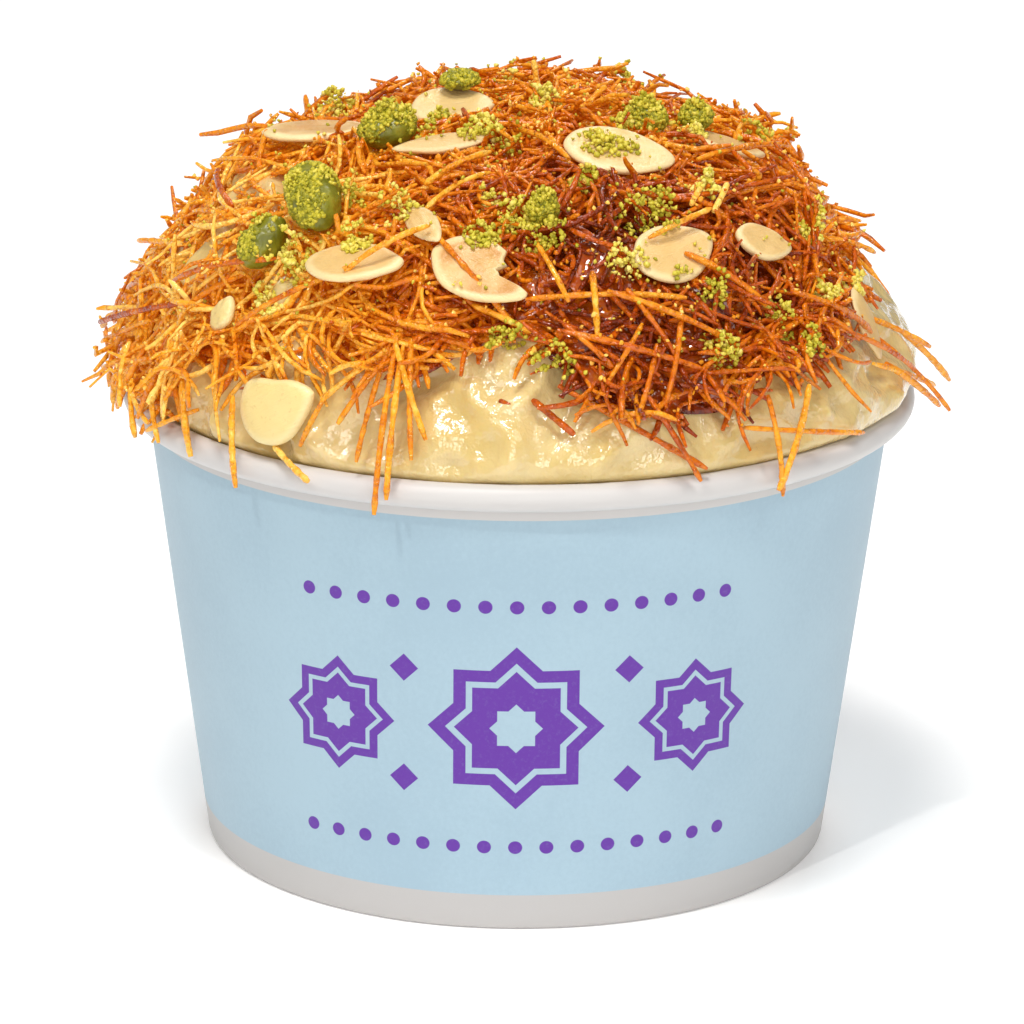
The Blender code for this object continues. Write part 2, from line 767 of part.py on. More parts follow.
def build_heap(collection, pieces, others, material):
    """The crown of shreds: a bare core with shreds and crumbs fused on, one closed solid."""
    mesh = shaped_sphere("kataifi_heap", HEAP_SEGMENTS, HEAP_RINGS, place_heap)
    obj = new_object("kataifi_heap", mesh, collection, material)
    draw = random.Random(SEED)
    trees = search_trees(others)
    paths = outermost_paths() + fringe_paths(trees, draw) + shred_paths(trees, draw)
    for number, path in enumerate(paths):
        tube(f"shred_{number}", thin_out(path), SHRED_RADIUS * draw.uniform(0.85, 1.15), pieces)
    add_crumbs(pieces, trees, draw)
    union = obj.modifiers.new("fuse", "BOOLEAN")
    union.operation = "UNION"
    union.operand_type = "COLLECTION"
    union.collection = pieces
    union.solver = "MANIFOLD"
    bpy.context.view_layer.update()
    fused = bpy.data.meshes.new_from_object(obj.evaluated_get(bpy.context.evaluated_depsgraph_get()))
    obj.modifiers.clear()
    obj.data = fused
    fused.name = "kataifi_heap"
    keep_one_body(fused)
    for piece in list(pieces.objects):
        bpy.data.objects.remove(piece)
    bpy.data.collections.remove(pieces)
    return obj


def build_cream(collection, material):
    """The cream that fills the tub and stands above it."""
    mesh = shaped_sphere("cream", CREAM_SEGMENTS, CREAM_RINGS, place_cream)
    return new_object("cream", mesh, collection, material)


def shade_round(obj):
    """Shade a curved piece smooth, and keep its sharp edges."""
    obj.data.shade_smooth()
    obj.data.set_sharp_from_angle(angle=math.radians(40))


def main():
    clear_scene()
    kunafa = new_collection("kunafa")
    cutters = new_collection("cutters")
    pieces = new_collection("pieces")
    white = finish("white_board", (0.88, 0.87, 0.86), 0.45)
    blue = finish("blue_print", (0.42, 0.60, 0.70), 0.5)
    cream = finish("cream", (0.86, 0.76, 0.50), 0.3)
    shreds = finish("fried_shreds", (0.72, 0.28, 0.04), 0.35)
    almond = finish("almond", (0.88, 0.74, 0.50), 0.5)
    pistachio = finish("pistachio", (0.36, 0.42, 0.06), 0.5)
    tub = [build_tub(kunafa, white, blue), build_bottom(kunafa, white)]
    filling = build_cream(kunafa, cream)
    laid = []
    nuts = build_almonds(kunafa, cutters, laid, almond) + build_pistachios(kunafa, laid, pistachio)
    build_heap(kunafa, pieces, [filling, *nuts], shreds)
    for obj in [*tub, filling, *nuts]:
        shade_round(obj)


main()
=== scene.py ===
"""Looks of the kunafa: a paper tub, cream, a heap of fried pastry shreds, nuts, crumbs and syrup.

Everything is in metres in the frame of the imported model. Azimuths run from +X, so the front is 270
degrees, and polar angles run down from the crown, both seen from the middle of the rim's plane.
"""

import logging
import math
import random
from collections.abc import Callable, Mapping, Sequence
from dataclasses import dataclass, field
from enum import Enum
from typing import Any

import bmesh
import bpy
import numpy as np
from mathutils import Matrix, Vector, noise
from mathutils.bvhtree import BVHTree


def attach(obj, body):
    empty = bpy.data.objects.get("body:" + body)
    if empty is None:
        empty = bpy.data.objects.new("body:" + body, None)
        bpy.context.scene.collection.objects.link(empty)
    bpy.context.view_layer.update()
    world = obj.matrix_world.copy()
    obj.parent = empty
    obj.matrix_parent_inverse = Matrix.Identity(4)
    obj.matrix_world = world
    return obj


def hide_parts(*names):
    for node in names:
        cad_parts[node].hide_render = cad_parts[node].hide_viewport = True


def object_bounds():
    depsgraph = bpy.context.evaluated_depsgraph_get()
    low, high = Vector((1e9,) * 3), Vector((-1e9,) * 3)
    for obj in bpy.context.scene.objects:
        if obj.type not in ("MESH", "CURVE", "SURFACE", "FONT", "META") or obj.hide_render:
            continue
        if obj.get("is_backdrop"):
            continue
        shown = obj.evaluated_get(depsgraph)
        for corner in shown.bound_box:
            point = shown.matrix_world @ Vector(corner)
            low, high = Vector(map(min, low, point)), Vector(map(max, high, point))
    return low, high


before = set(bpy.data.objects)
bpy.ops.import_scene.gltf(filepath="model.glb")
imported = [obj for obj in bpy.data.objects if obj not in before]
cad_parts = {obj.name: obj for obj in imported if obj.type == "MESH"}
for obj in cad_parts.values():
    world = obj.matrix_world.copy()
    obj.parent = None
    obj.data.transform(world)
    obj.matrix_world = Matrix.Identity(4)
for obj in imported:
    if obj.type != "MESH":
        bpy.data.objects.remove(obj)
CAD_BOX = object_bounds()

LOG = logging.getLogger("kunafa")
BODY = "root"
NOISE_SEED = 7
Colour = tuple[float, float, float, float]
Ramp = tuple[tuple[float, Colour], ...]
Inputs = Mapping[int | str, Any]
Socket = bpy.types.NodeSocket
Material = bpy.types.Material
Mesh = bpy.types.Mesh
Piece = bpy.types.Object


def srgb(red: float, green: float, blue: float) -> Colour:
    """Linear colour of a colour named by its 0 to 255 display values.

    Args:
        red: Red value.
        green: Green value.
        blue: Blue value.

    Returns:
        The linear colour with full alpha.
    """
    shares = [value / 255 for value in (red, green, blue)]
    linear = [s / 12.92 if s <= 0.04045 else ((s + 0.055) / 1.055) ** 2.4 for s in shares]
    return (linear[0], linear[1], linear[2], 1.0)


def smooth_step(low: float, high: float, value: float) -> float:
    """Ease from 0 to 1 as the value goes from low to high."""
    share = min(max((value - low) / (high - low), 0.0), 1.0)
    return share * share * (3 - 2 * share)


class Graph:
    """A node tree that is being filled: adds nodes and joins their sockets."""

    def __init__(self, tree: bpy.types.NodeTree) -> None:
        """Keep the tree to fill."""
        self.tree = tree

    def node(self, kind: str, inputs: Inputs | None = None, **settings: Any) -> bpy.types.Node:
        """Add a node.

        Args:
            kind: Type name of the node.
            inputs: Sockets or plain values by input name or number.
            **settings: Properties of the node.

        Returns:
            The new node.
        """
        made = self.tree.nodes.new(kind)
        for name, value in settings.items():
            setattr(made, name, value)
        for key, value in (inputs or {}).items():
            self.feed(made.inputs[key], value)
        return made

    def out(self, kind: str, inputs: Inputs | None = None, port: int | str = 0, **settings: Any) -> Socket:
        """Add a node and take one of its outputs."""
        return self.node(kind, inputs, **settings).outputs[port]

    def feed(self, socket: Socket, value: Any) -> None:
        """Link a socket into an input, or give the input a plain value.

        Args:
            socket: The input.
            value: An output socket, or a plain value.
        """
        if isinstance(value, bpy.types.NodeSocket):
            self.tree.links.new(value, socket)
        else:
            socket.default_value = value

    def math(self, operation: str, *values: Any) -> Socket:
        """Result of a sum on numbers, by its name in Blender."""
        return self.out("ShaderNodeMath", dict(enumerate(values)), operation=operation)

    def plus(self, first: Any, second: Any) -> Socket:
        """Sum of two numbers."""
        return self.math("ADD", first, second)

    def minus(self, first: Any, second: Any) -> Socket:
        """Difference of two numbers."""
        return self.math("SUBTRACT", first, second)

    def times(self, first: Any, second: Any) -> Socket:
        """Product of two numbers."""
        return self.math("MULTIPLY", first, second)

    def vector(self, operation: str, *values: Any) -> Socket:
        """Result of a sum on vectors.

        Args:
            operation: Name of the sum.
            *values: Its operands; the second operand of SCALE is a number.

        Returns:
            The output socket.
        """
        keys = (0, 3) if operation == "SCALE" else (0, 1, 2)
        port = "Value" if operation == "DOT_PRODUCT" else "Vector"
        return self.out("ShaderNodeVectorMath", dict(zip(keys, values)), port, operation=operation)

    def scaled(self, arrow: Any, factor: Any) -> Socket:
        """A vector times a number."""
        return self.vector("SCALE", arrow, factor)

    def noise(self, place: Any, scale: float, detail: float = 2.0, roughness: float = 0.5) -> Socket:
        """Smooth noise between 0 and 1, with a number of lumps for each metre."""
        inputs = {"Vector": place, "Scale": scale, "Detail": detail, "Roughness": roughness}
        return self.out("ShaderNodeTexNoise", inputs)

    def span(self, value: Any, low: float, high: float, start: float = 0.0, end: float = 1.0) -> Socket:
        """Value eased from start to end as it goes from low to high."""
        inputs = {0: value, 1: low, 2: high, 3: start, 4: end}
        return self.out("ShaderNodeMapRange", inputs, interpolation_type="SMOOTHSTEP")


class ShaderGraph(Graph):
    """The node tree of a material, with its principled shader."""

    def __init__(self, name: str) -> None:
        """Make the material.

        Args:
            name: Its name.
        """
        self.material = bpy.data.materials.new(name)
        self.material.use_nodes = True
        super().__init__(self.material.node_tree)
        self.shader = self.tree.nodes["Principled BSDF"]
        self.place = self.out("ShaderNodeTexCoord", port="Object")

    def attribute(self, name: str) -> Socket:
        """A number stored on the mesh."""
        return self.out("ShaderNodeAttribute", port="Fac", attribute_name=name)

    def mix(self, share: Any, first: Any, second: Any) -> Socket:
        """Blend of two colours, by the share of the second."""
        return self.out("ShaderNodeMix", {0: share, 6: first, 7: second}, 2, data_type="RGBA")

    def ramp(self, value: Any, stops: Ramp) -> Socket:
        """Colour read from a ramp.

        Args:
            value: Position along the ramp.
            stops: Position and colour of each stop, in order.

        Returns:
            The output socket.
        """
        made = self.node("ShaderNodeValToRGB", {0: value})
        elements = made.color_ramp.elements
        elements.remove(elements[1])
        elements[0].position, elements[0].color = stops[0]
        for position, colour in stops[1:]:
            elements.new(position).color = colour
        return made.outputs[0]

    def bumps(self, *layers: tuple[Any, float, float]) -> None:
        """Give the shader a chain of bumps.

        Args:
            *layers: Height, strength and depth in metres of each layer.
        """
        normal = None
        for height, strength, depth in layers:
            inputs = {"Strength": strength, "Distance": depth, "Height": height}
            if normal is not None:
                inputs["Normal"] = normal
            normal = self.out("ShaderNodeBump", inputs)
        self.feed(self.shader.inputs["Normal"], normal)
        self.feed(self.shader.inputs["Coat Normal"], normal)

    def finish(self, **values: Any) -> Material:
        """Set the shader's sockets.

        Args:
            **values: Names from SHADER_SOCKETS, and what each socket gets.

        Returns:
            The material.
        """
        for name, value in values.items():
            self.feed(self.shader.inputs[SHADER_SOCKETS[name]], value)
        return self.material


SHADER_SOCKETS = {
    "colour": "Base Color",
    "roughness": "Roughness",
    "specular": "Specular IOR Level",
    "subsurface": "Subsurface Weight",
    "subsurface_radius": "Subsurface Radius",
    "subsurface_scale": "Subsurface Scale",
    "coat": "Coat Weight",
    "coat_roughness": "Coat Roughness",
    "emission": "Emission Color",
    "emission_strength": "Emission Strength",
}


class GeometryGraph(Graph):
    """A Geometry Nodes tree with named inputs, which ends in a plain mesh."""

    def __init__(self, name: str) -> None:
        """Make the empty tree.

        Args:
            name: Its name.
        """
        super().__init__(bpy.data.node_groups.new(name, "GeometryNodeTree"))
        self.tree.interface.new_socket("Geometry", in_out="INPUT", socket_type="NodeSocketGeometry")
        self.tree.interface.new_socket("Geometry", in_out="OUTPUT", socket_type="NodeSocketGeometry")
        self.entry = self.tree.nodes.new("NodeGroupInput")
        self.surface = self.entry.outputs[0]

    def socket(self, name: str, kind: str) -> Socket:
        """Add a named input, which is Float, Int, Object or Material."""
        self.tree.interface.new_socket(name, in_out="INPUT", socket_type=f"NodeSocket{kind}")
        return self.entry.outputs[name]

    def floats(self, *names: str) -> list[Socket]:
        """Number inputs of the group."""
        return [self.socket(name, "Float") for name in names]

    def random(self, low: Any, high: Any, seed: Any) -> Socket:
        """A random number for each element, drawn with a seed."""
        return self.out("FunctionNodeRandomValue", {2: low, 3: high, 8: seed}, 1, data_type="FLOAT")

    def random_vector(self, low: Any, high: Any, seed: Any) -> Socket:
        """A random vector for each element, drawn with a seed."""
        return self.out("FunctionNodeRandomValue", {0: low, 1: high, 8: seed}, data_type="FLOAT_VECTOR")

    def stored(self, name: str, kind: str = "FLOAT") -> Socket:
        """Read an attribute."""
        return self.out("GeometryNodeInputNamedAttribute", {0: name}, data_type=kind)

    def store(self, geometry: Socket, name: str, value: Any, kind: str = "FLOAT") -> Socket:
        """Geometry with an attribute written on its points."""
        inputs = {0: geometry, 2: name, 3: value}
        return self.out("GeometryNodeStoreNamedAttribute", inputs, data_type=kind, domain="POINT")

    def jogged(self, crumbs: Socket, scale: float, by: float = 0.0007) -> Socket:
        """Crumbs made rough, with their points moved by noise."""
        here = self.out("GeometryNodeInputPosition")
        cells = self.out("ShaderNodeTexNoise", {"Vector": here, "Scale": scale, "Detail": 1.0}, 1)
        jog = self.scaled(self.vector("SUBTRACT", cells, (0.5, 0.5, 0.5)), by)
        return self.out("GeometryNodeSetPosition", {0: crumbs, 3: jog})

    def geometry_of(self, thing: Socket) -> Socket:
        """Mesh of an object input."""
        return self.out("GeometryNodeObjectInfo", {0: thing}, 4, transform_space="RELATIVE")

    def close(self, geometry: Socket, material: Socket) -> None:
        """End the tree with a smooth plain mesh in one material.

        Args:
            geometry: What the tree made.
            material: The material input.
        """
        plain = self.out("GeometryNodeRealizeInstances", {0: geometry})
        smooth = self.out("GeometryNodeSetShadeSmooth", {0: plain})
        dressed = self.out("GeometryNodeSetMaterial", {0: smooth, 2: material})
        leave = self.tree.nodes.new("NodeGroupOutput")
        self.tree.links.new(dressed, leave.inputs[0])

    def run(self, host: Mesh, values: Mapping[str, Any]) -> Mesh:
        """Evaluate the tree on a mesh.

        Args:
            host: Mesh that the tree starts from.
            values: Value of each named input.

        Returns:
            The result as a plain mesh.
        """
        carrier = link_object("carrier", host)
        modifier = carrier.modifiers.new("nodes", "NODES")
        modifier.node_group = self.tree
        for item in self.tree.interface.items_tree:
            if item.in_out == "INPUT" and item.name in values:
                modifier[item.identifier] = values[item.name]
        graph = bpy.context.evaluated_depsgraph_get()
        made = bpy.data.meshes.new_from_object(
            carrier.evaluated_get(graph), preserve_all_data_layers=True, depsgraph=graph
        )
        bpy.data.objects.remove(carrier)
        return made


def link_object(name: str, data: bpy.types.ID | None) -> Piece:
    """An object for some data, linked into the scene."""
    made = bpy.data.objects.new(name, data)
    bpy.context.scene.collection.objects.link(made)
    return made


def joined(name: str, meshes: Sequence[Mesh]) -> Mesh:
    """Several meshes in one.

    Args:
        name: Name of the new mesh.
        meshes: The meshes.

    Returns:
        The new mesh.
    """
    shape = bmesh.new()
    for mesh in meshes:
        shape.from_mesh(mesh)
    made = bpy.data.meshes.new(name)
    shape.to_mesh(made)
    shape.free()
    return made


def add_piece(
    name: str,
    mesh: Mesh,
    materials: Sequence[Material] = (),
    nodes: Sequence[str] = (),
) -> Piece:
    """Put a finished mesh in the scene as a piece of the part.

    Args:
        name: Name of the piece.
        mesh: Its mesh, in place.
        materials: Its materials, unless the mesh has them.
        nodes: CAD nodes that it stands for.

    Returns:
        The object.
    """
    mesh.name = name
    if materials:
        mesh.materials.clear()
    for material in materials:
        mesh.materials.append(material)
    mesh.shade_smooth()
    made = link_object(name, mesh)
    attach(made, BODY)
    if nodes:
        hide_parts(*nodes)
    LOG.info("%s: %d faces", name, len(mesh.polygons))
    return made


def grid_mesh(
    name: str, place: Callable[[float, int], Vector], azimuths: Sequence[float], rows: int, closed: bool
) -> Mesh:
    """A skin wound round the axis, with a single point at its top and, if closed, at its bottom.

    Args:
        name: Name of the mesh.
        place: Point for an azimuth in radians and a row.
        azimuths: Azimuths of the columns.
        rows: Number of rows, counted from the top point.
        closed: Whether the last row is a single point too.

    Returns:
        The mesh.
    """
    count = len(azimuths)
    rings = rows - 1 if closed else rows
    points = [place(0.0, 0)]
    points += [place(azimuth, row) for row in range(1, rings + 1) for azimuth in azimuths]
    faces = [(0, 1 + i, 1 + (i + 1) % count) for i in range(count)]
    for ring in range(rings - 1):
        above, below = 1 + ring * count, 1 + (ring + 1) * count
        for i in range(count):
            j = (i + 1) % count
            faces.append((above + i, below + i, below + j, above + j))
    if closed:
        points.append(place(0.0, rows))
        last = 1 + (rings - 1) * count
        faces += [(last + (i + 1) % count, last + i, len(points) - 1) for i in range(count)]
    mesh = bpy.data.meshes.new(name)
    mesh.from_pydata(points, [], faces)
    mesh.update()
    return mesh


def evenly(count: int) -> list[float]:
    """Azimuths that divide the turn evenly."""
    return [math.tau * i / count for i in range(count)]


def write_attribute(mesh: Mesh, name: str, values: Sequence[Any], kind: str = "FLOAT") -> None:
    """Store a value on each point of a mesh.

    Args:
        mesh: The mesh.
        name: Name of the attribute.
        values: A value for each point.
        kind: FLOAT or FLOAT_VECTOR.
    """
    layer = mesh.attributes.new(name, kind, "POINT")
    flat = np.asarray(values, dtype=np.float32).reshape(-1)
    layer.data.foreach_set("vector" if kind == "FLOAT_VECTOR" else "value", flat)


def merged_copy(node: str) -> Mesh:
    """A copy of a CAD node's mesh with its loose triangles joined.

    Args:
        node: Name of the node.

    Returns:
        The joined mesh.
    """
    shape = bmesh.new()
    shape.from_mesh(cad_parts[node].data)
    bmesh.ops.remove_doubles(shape, verts=shape.verts, dist=0.00002)
    mesh = bpy.data.meshes.new(node)
    shape.to_mesh(mesh)
    shape.free()
    return mesh


@dataclass(frozen=True)
class Mound:
    """Form that the cream and the shreds share, measured from the middle of the rim's plane."""

    height: float = 0.067
    power: float = 2.35
    heap_reach: float = 0.0562
    heap_rise: float = 0.0405
    cream_reach: float = 0.0538
    cream_rise: float = 0.0300
    bulge: float = 0.0020
    bulge_at: float = math.radians(5)
    pinch: float = 0.0532
    lip: float = 0.0015
    lip_span: tuple[float, float] = (math.radians(72), math.radians(86))
    pinch_span: tuple[float, float] = (math.radians(87.2), math.radians(89.7))
    lump: float = 0.0018
    lump_scale: float = 75.0
    crust: float = 0.0019
    thins_from: float = 0.72
    slope_step: float = 0.02
    rim_polar: float = 88
    rim_reach: float = 0.0579
    # Azimuth, and polar angle where the shreds end.
    edges: tuple[tuple[float, float], ...] = (
        (0, 66), (25, 70), (50, 77), (80, 79), (110, 73), (140, 79), (165, 84), (188, 85.6), (208, 85.4),
        (222, 81), (237, 78), (252, 75), (264, 69), (273, 70), (284, 79), (300, 81), (322, 78), (342, 70),
        (360, 66),
    )

    def direction(self, azimuth: float, polar: float) -> Vector:
        """Unit vector at an azimuth and a polar angle."""
        across = math.sin(polar)
        return Vector((across * math.cos(azimuth), across * math.sin(azimuth), math.cos(polar)))

    def point(self, azimuth: float, polar: float, distance: float) -> Vector:
        """Point at a distance from the middle of the rim's plane."""
        return self.direction(azimuth, polar) * distance + Vector((0.0, 0.0, self.height))

    def dome(self, polar: float, reach: float, rise: float) -> float:
        """Distance to a dome with full shoulders.

        Args:
            polar: Angle down from the crown.
            reach: Radius of the dome.
            rise: Height of the dome.

        Returns:
            The distance.
        """
        across = max(math.sin(polar), 1e-9) / reach
        upward = max(math.cos(polar), 0.0) / rise
        return (across**self.power + upward**self.power) ** (-1.0 / self.power)

    def facing(self, azimuth: float, polar: float) -> Vector:
        """Outward normal of the smooth mound.

        Args:
            azimuth: Azimuth in radians.
            polar: Polar angle in radians.

        Returns:
            The unit normal.
        """
        across = self.direction(azimuth, polar)
        either = (polar - self.slope_step, polar + self.slope_step)
        upper, lower = (self.point(azimuth, p, self.dome(p, self.heap_reach, self.heap_rise)) for p in either)
        down = (lower - upper).normalized()
        return (across - down * across.dot(down)).normalized()

    def edge(self, azimuth: float) -> float:
        """Polar angle at which the shreds end.

        Args:
            azimuth: Azimuth in radians.

        Returns:
            The polar angle in radians.
        """
        degrees = math.degrees(azimuth) % 360
        for (a, low), (b, high) in zip(self.edges, self.edges[1:]):
            if a <= degrees <= b:
                return math.radians(low + (high - low) * smooth_step(a, b, degrees))
        return math.radians(self.edges[0][1])

    def cream(self, azimuth: float, polar: float) -> float:
        """Distance to the cream without its folds.

        Args:
            azimuth: Azimuth in radians.
            polar: Polar angle in radians.

        Returns:
            The distance.
        """
        bulge = self.bulge * max(math.cos(azimuth - self.bulge_at), 0.0) ** 2
        face = self.dome(polar, self.cream_reach + bulge, self.cream_rise)
        face += self.lip * smooth_step(*self.lip_span, polar)
        return face + (self.pinch - face) * smooth_step(*self.pinch_span, polar)

    def top(self, azimuth: float, polar: float) -> float:
        """Distance to the shreds, or to the cream past their edge."""
        return self.heap(azimuth, polar) if polar < self.edge(azimuth) else self.cream(azimuth, polar)

    def heap(self, azimuth: float, polar: float) -> float:
        """Distance to the face of the shreds.

        Args:
            azimuth: Azimuth in radians.
            polar: Polar angle in radians.

        Returns:
            The distance.
        """
        lump = self.lump * noise.noise(self.direction(azimuth, polar) * (self.heap_reach * self.lump_scale))
        face = self.dome(polar, self.heap_reach, self.heap_rise) + lump
        edge = self.cream(azimuth, polar) + self.crust
        fade = smooth_step(self.thins_from, 1.0, polar / self.edge(azimuth))
        return max(face + (edge - face) * fade, edge)

    def on_heap(self, azimuth: float, polar: float) -> Vector:
        """Point of the heap's face, from angles in degrees."""
        at = (math.radians(azimuth), math.radians(polar))
        return self.point(*at, self.heap(*at))

    def nearness(self, place: Vector, azimuth: float, polar: float, wide: float) -> float:
        """Bell that is 1 at a spot of the heap, from angles in degrees, and fades over a width."""
        away = (place - self.on_heap(azimuth, polar)).length / wide
        return math.exp(-away * away)


MOUND = Mound()


@dataclass(frozen=True)
class BoardFinish:
    """Coated paper board, white or printed blue, with an ornament of stars printed on the blue."""

    white: Colour = srgb(202, 199, 197)
    white_cloud: Colour = srgb(206, 203, 200)
    # Painted shade: colour that the board darkens into towards its foot, for the dimmer light low on the
    # wall.
    foot: Colour = srgb(186, 183, 181)
    blue: Colour = srgb(168, 194, 208)
    blue_dark: Colour = srgb(161, 187, 202)
    purple: Colour = srgb(98, 46, 158)
    ornament_height: float = 0.0315
    star_radius: float = 0.0125
    side_star_radius: float = 0.0088
    side_star_at: float = 0.0262
    dot_radius: float = 0.0010
    dot_pitch: float = 0.0044
    dot_row: float = 0.0185
    row_half_length: float = 0.0330
    diamond_radius: float = 0.0021
    diamond_rise: float = 0.0085
    diamond_at: float = 0.61
    star_gaps: tuple[tuple[float, float], ...] = ((0.80, 0.70), (0.30, 0.0))
    print_blur: float = 0.00005

    def bare(self) -> Material:
        """White board with the faint tooth of paper, and painted shade that darkens it towards the foot."""
        graph = ShaderGraph("white_board")
        cloud = graph.noise(graph.place, 60, 3)
        tooth = graph.noise(graph.place, 2600, 3)
        colour = graph.mix(graph.span(cloud, 0.3, 0.7, 0.0, 0.5), self.white, self.white_cloud)
        height = graph.out("ShaderNodeSeparateXYZ", {0: graph.place}, 2)
        # Painted shade: the board blends into the foot colour below about 20 mm.
        colour = graph.mix(graph.span(height, 0.004, 0.02, 0.85, 0.0), colour, self.foot)
        graph.bumps((cloud, 0.15, 0.0006), (tooth, 0.12, 0.00008))
        return graph.finish(colour=colour, roughness=0.42, specular=0.45)

    def printed(self) -> Material:
        """Blue print on the board, with the purple ornament."""
        graph = ShaderGraph("printed_board")
        cloud = graph.noise(graph.place, 45, 4)
        fleck = graph.noise(graph.place, 1500, 4, 0.7)
        tooth = graph.noise(graph.place, 2600, 3)
        shade = graph.plus(graph.times(cloud, 0.55), graph.times(fleck, 0.45))
        ground = graph.mix(graph.span(shade, 0.36, 0.64), self.blue_dark, self.blue)
        ink = graph.times(self.ornament(graph), graph.span(fleck, 0.15, 0.5, 0.88, 1.0))
        graph.bumps((cloud, 0.12, 0.0006), (tooth, 0.12, 0.00008))
        return graph.finish(colour=graph.mix(ink, ground, self.purple), roughness=0.46, specular=0.4)

    def ornament(self, graph: ShaderGraph) -> Socket:
        """Mask of the ornament, the same at the front and at the back.

        Args:
            graph: The material's tree.

        Returns:
            1 on the ornament and 0 off it.
        """
        parts = graph.node("ShaderNodeSeparateXYZ", {0: graph.place}).outputs
        turn = graph.math("ABSOLUTE", graph.math("ARCTAN2", parts[0], graph.times(parts[1], -1.0)))
        near = graph.math("MINIMUM", turn, graph.minus(math.pi, turn))
        squared = graph.math("MULTIPLY_ADD", parts[0], parts[0], graph.times(parts[1], parts[1]))
        along = graph.times(near, graph.math("SQRT", squared))
        up = graph.minus(parts[2], self.ornament_height)
        masks = [
            self.star(graph, along, up, 0.0, self.star_radius),
            self.star(graph, along, up, self.side_star_at, self.side_star_radius),
        ]
        offset = graph.math("ABSOLUTE", graph.minus(along, self.side_star_at * self.diamond_at))
        for height in (-self.diamond_rise, self.diamond_rise):
            rise = graph.math("ABSOLUTE", graph.minus(up, height))
            masks.append(self.inside(graph, graph.plus(offset, rise), self.diamond_radius))
        masks.append(self.dots(graph, along, up))
        whole = masks[0]
        for mask in masks[1:]:
            whole = graph.math("MAXIMUM", whole, mask)
        return whole

    def inside(self, graph: ShaderGraph, distance: Socket, limit: float) -> Socket:
        """Mask of where a distance is below a limit, with a crisp edge."""
        return graph.span(distance, limit - self.print_blur, limit + self.print_blur, 1.0, 0.0)

    def star(self, graph: ShaderGraph, along: Socket, up: Socket, at: float, radius: float) -> Socket:
        """Mask of an eight-pointed star with a ring and an eye left open in it.

        Args:
            graph: The material's tree.
            along: Distance round the wall from the middle.
            up: Height above the ornament's middle.
            at: Where the star's middle is.
            radius: Its radius.

        Returns:
            The mask.
        """
        x = graph.math("ABSOLUTE", graph.minus(along, at))
        y = graph.math("ABSOLUTE", up)
        lying = graph.plus(x, y)
        upright = graph.times(graph.math("MAXIMUM", x, y), math.sqrt(2))
        reach = graph.math("MINIMUM", lying, upright)
        outer = self.inside(graph, reach, radius)
        for out, back in self.star_gaps:
            hole = self.inside(graph, reach, radius * out)
            kept = self.inside(graph, reach, radius * back) if back else 0.0
            ring = graph.minus(hole, kept)
            outer = graph.minus(outer, ring)
        return outer

    def dots(self, graph: ShaderGraph, along: Socket, up: Socket) -> Socket:
        """Mask of a row of dots above the stars and one below.

        Args:
            graph: The material's tree.
            along: Distance round the wall from the middle.
            up: Height above the ornament's middle.

        Returns:
            The mask.
        """
        wave = graph.math("PINGPONG", along, self.dot_pitch / 2)
        rise = graph.minus(graph.math("ABSOLUTE", up), self.dot_row)
        far = graph.math("MULTIPLY_ADD", wave, wave, graph.times(rise, rise))
        dot = self.inside(graph, graph.math("SQRT", far), self.dot_radius)
        return graph.times(dot, self.inside(graph, along, self.row_half_length))


@dataclass(frozen=True)
class CreamFinish:
    """Wet, pale yellow clotted cream, with a faint warm glow painted in to lift its shade."""

    light: Colour = srgb(218, 195, 136)
    deep: Colour = srgb(207, 180, 111)
    # Painted light: warm colour in which the cream glows faintly, to lift its shaded parts.
    painted_glow_colour: Colour = srgb(255, 212, 140)

    def make(self) -> Material:
        """The material."""
        graph = ShaderGraph("cream")
        cloud = graph.noise(graph.place, 90, 3)
        soft = graph.noise(graph.place, 420, 3, 0.55)
        fine = graph.noise(graph.place, 1300, 2)
        graph.bumps((soft, 0.4, 0.0011), (fine, 0.08, 0.0003))
        return graph.finish(
            colour=graph.mix(graph.span(cloud, 0.35, 0.68), self.light, self.deep),
            roughness=0.16, specular=0.55, coat=0.9, coat_roughness=0.04,
            subsurface=0.5, subsurface_radius=(1.0, 0.74, 0.40), subsurface_scale=0.0026,
            # A faint warm glow, painted light that lifts the cream's shade.
            emission=self.painted_glow_colour, emission_strength=0.05,
        )


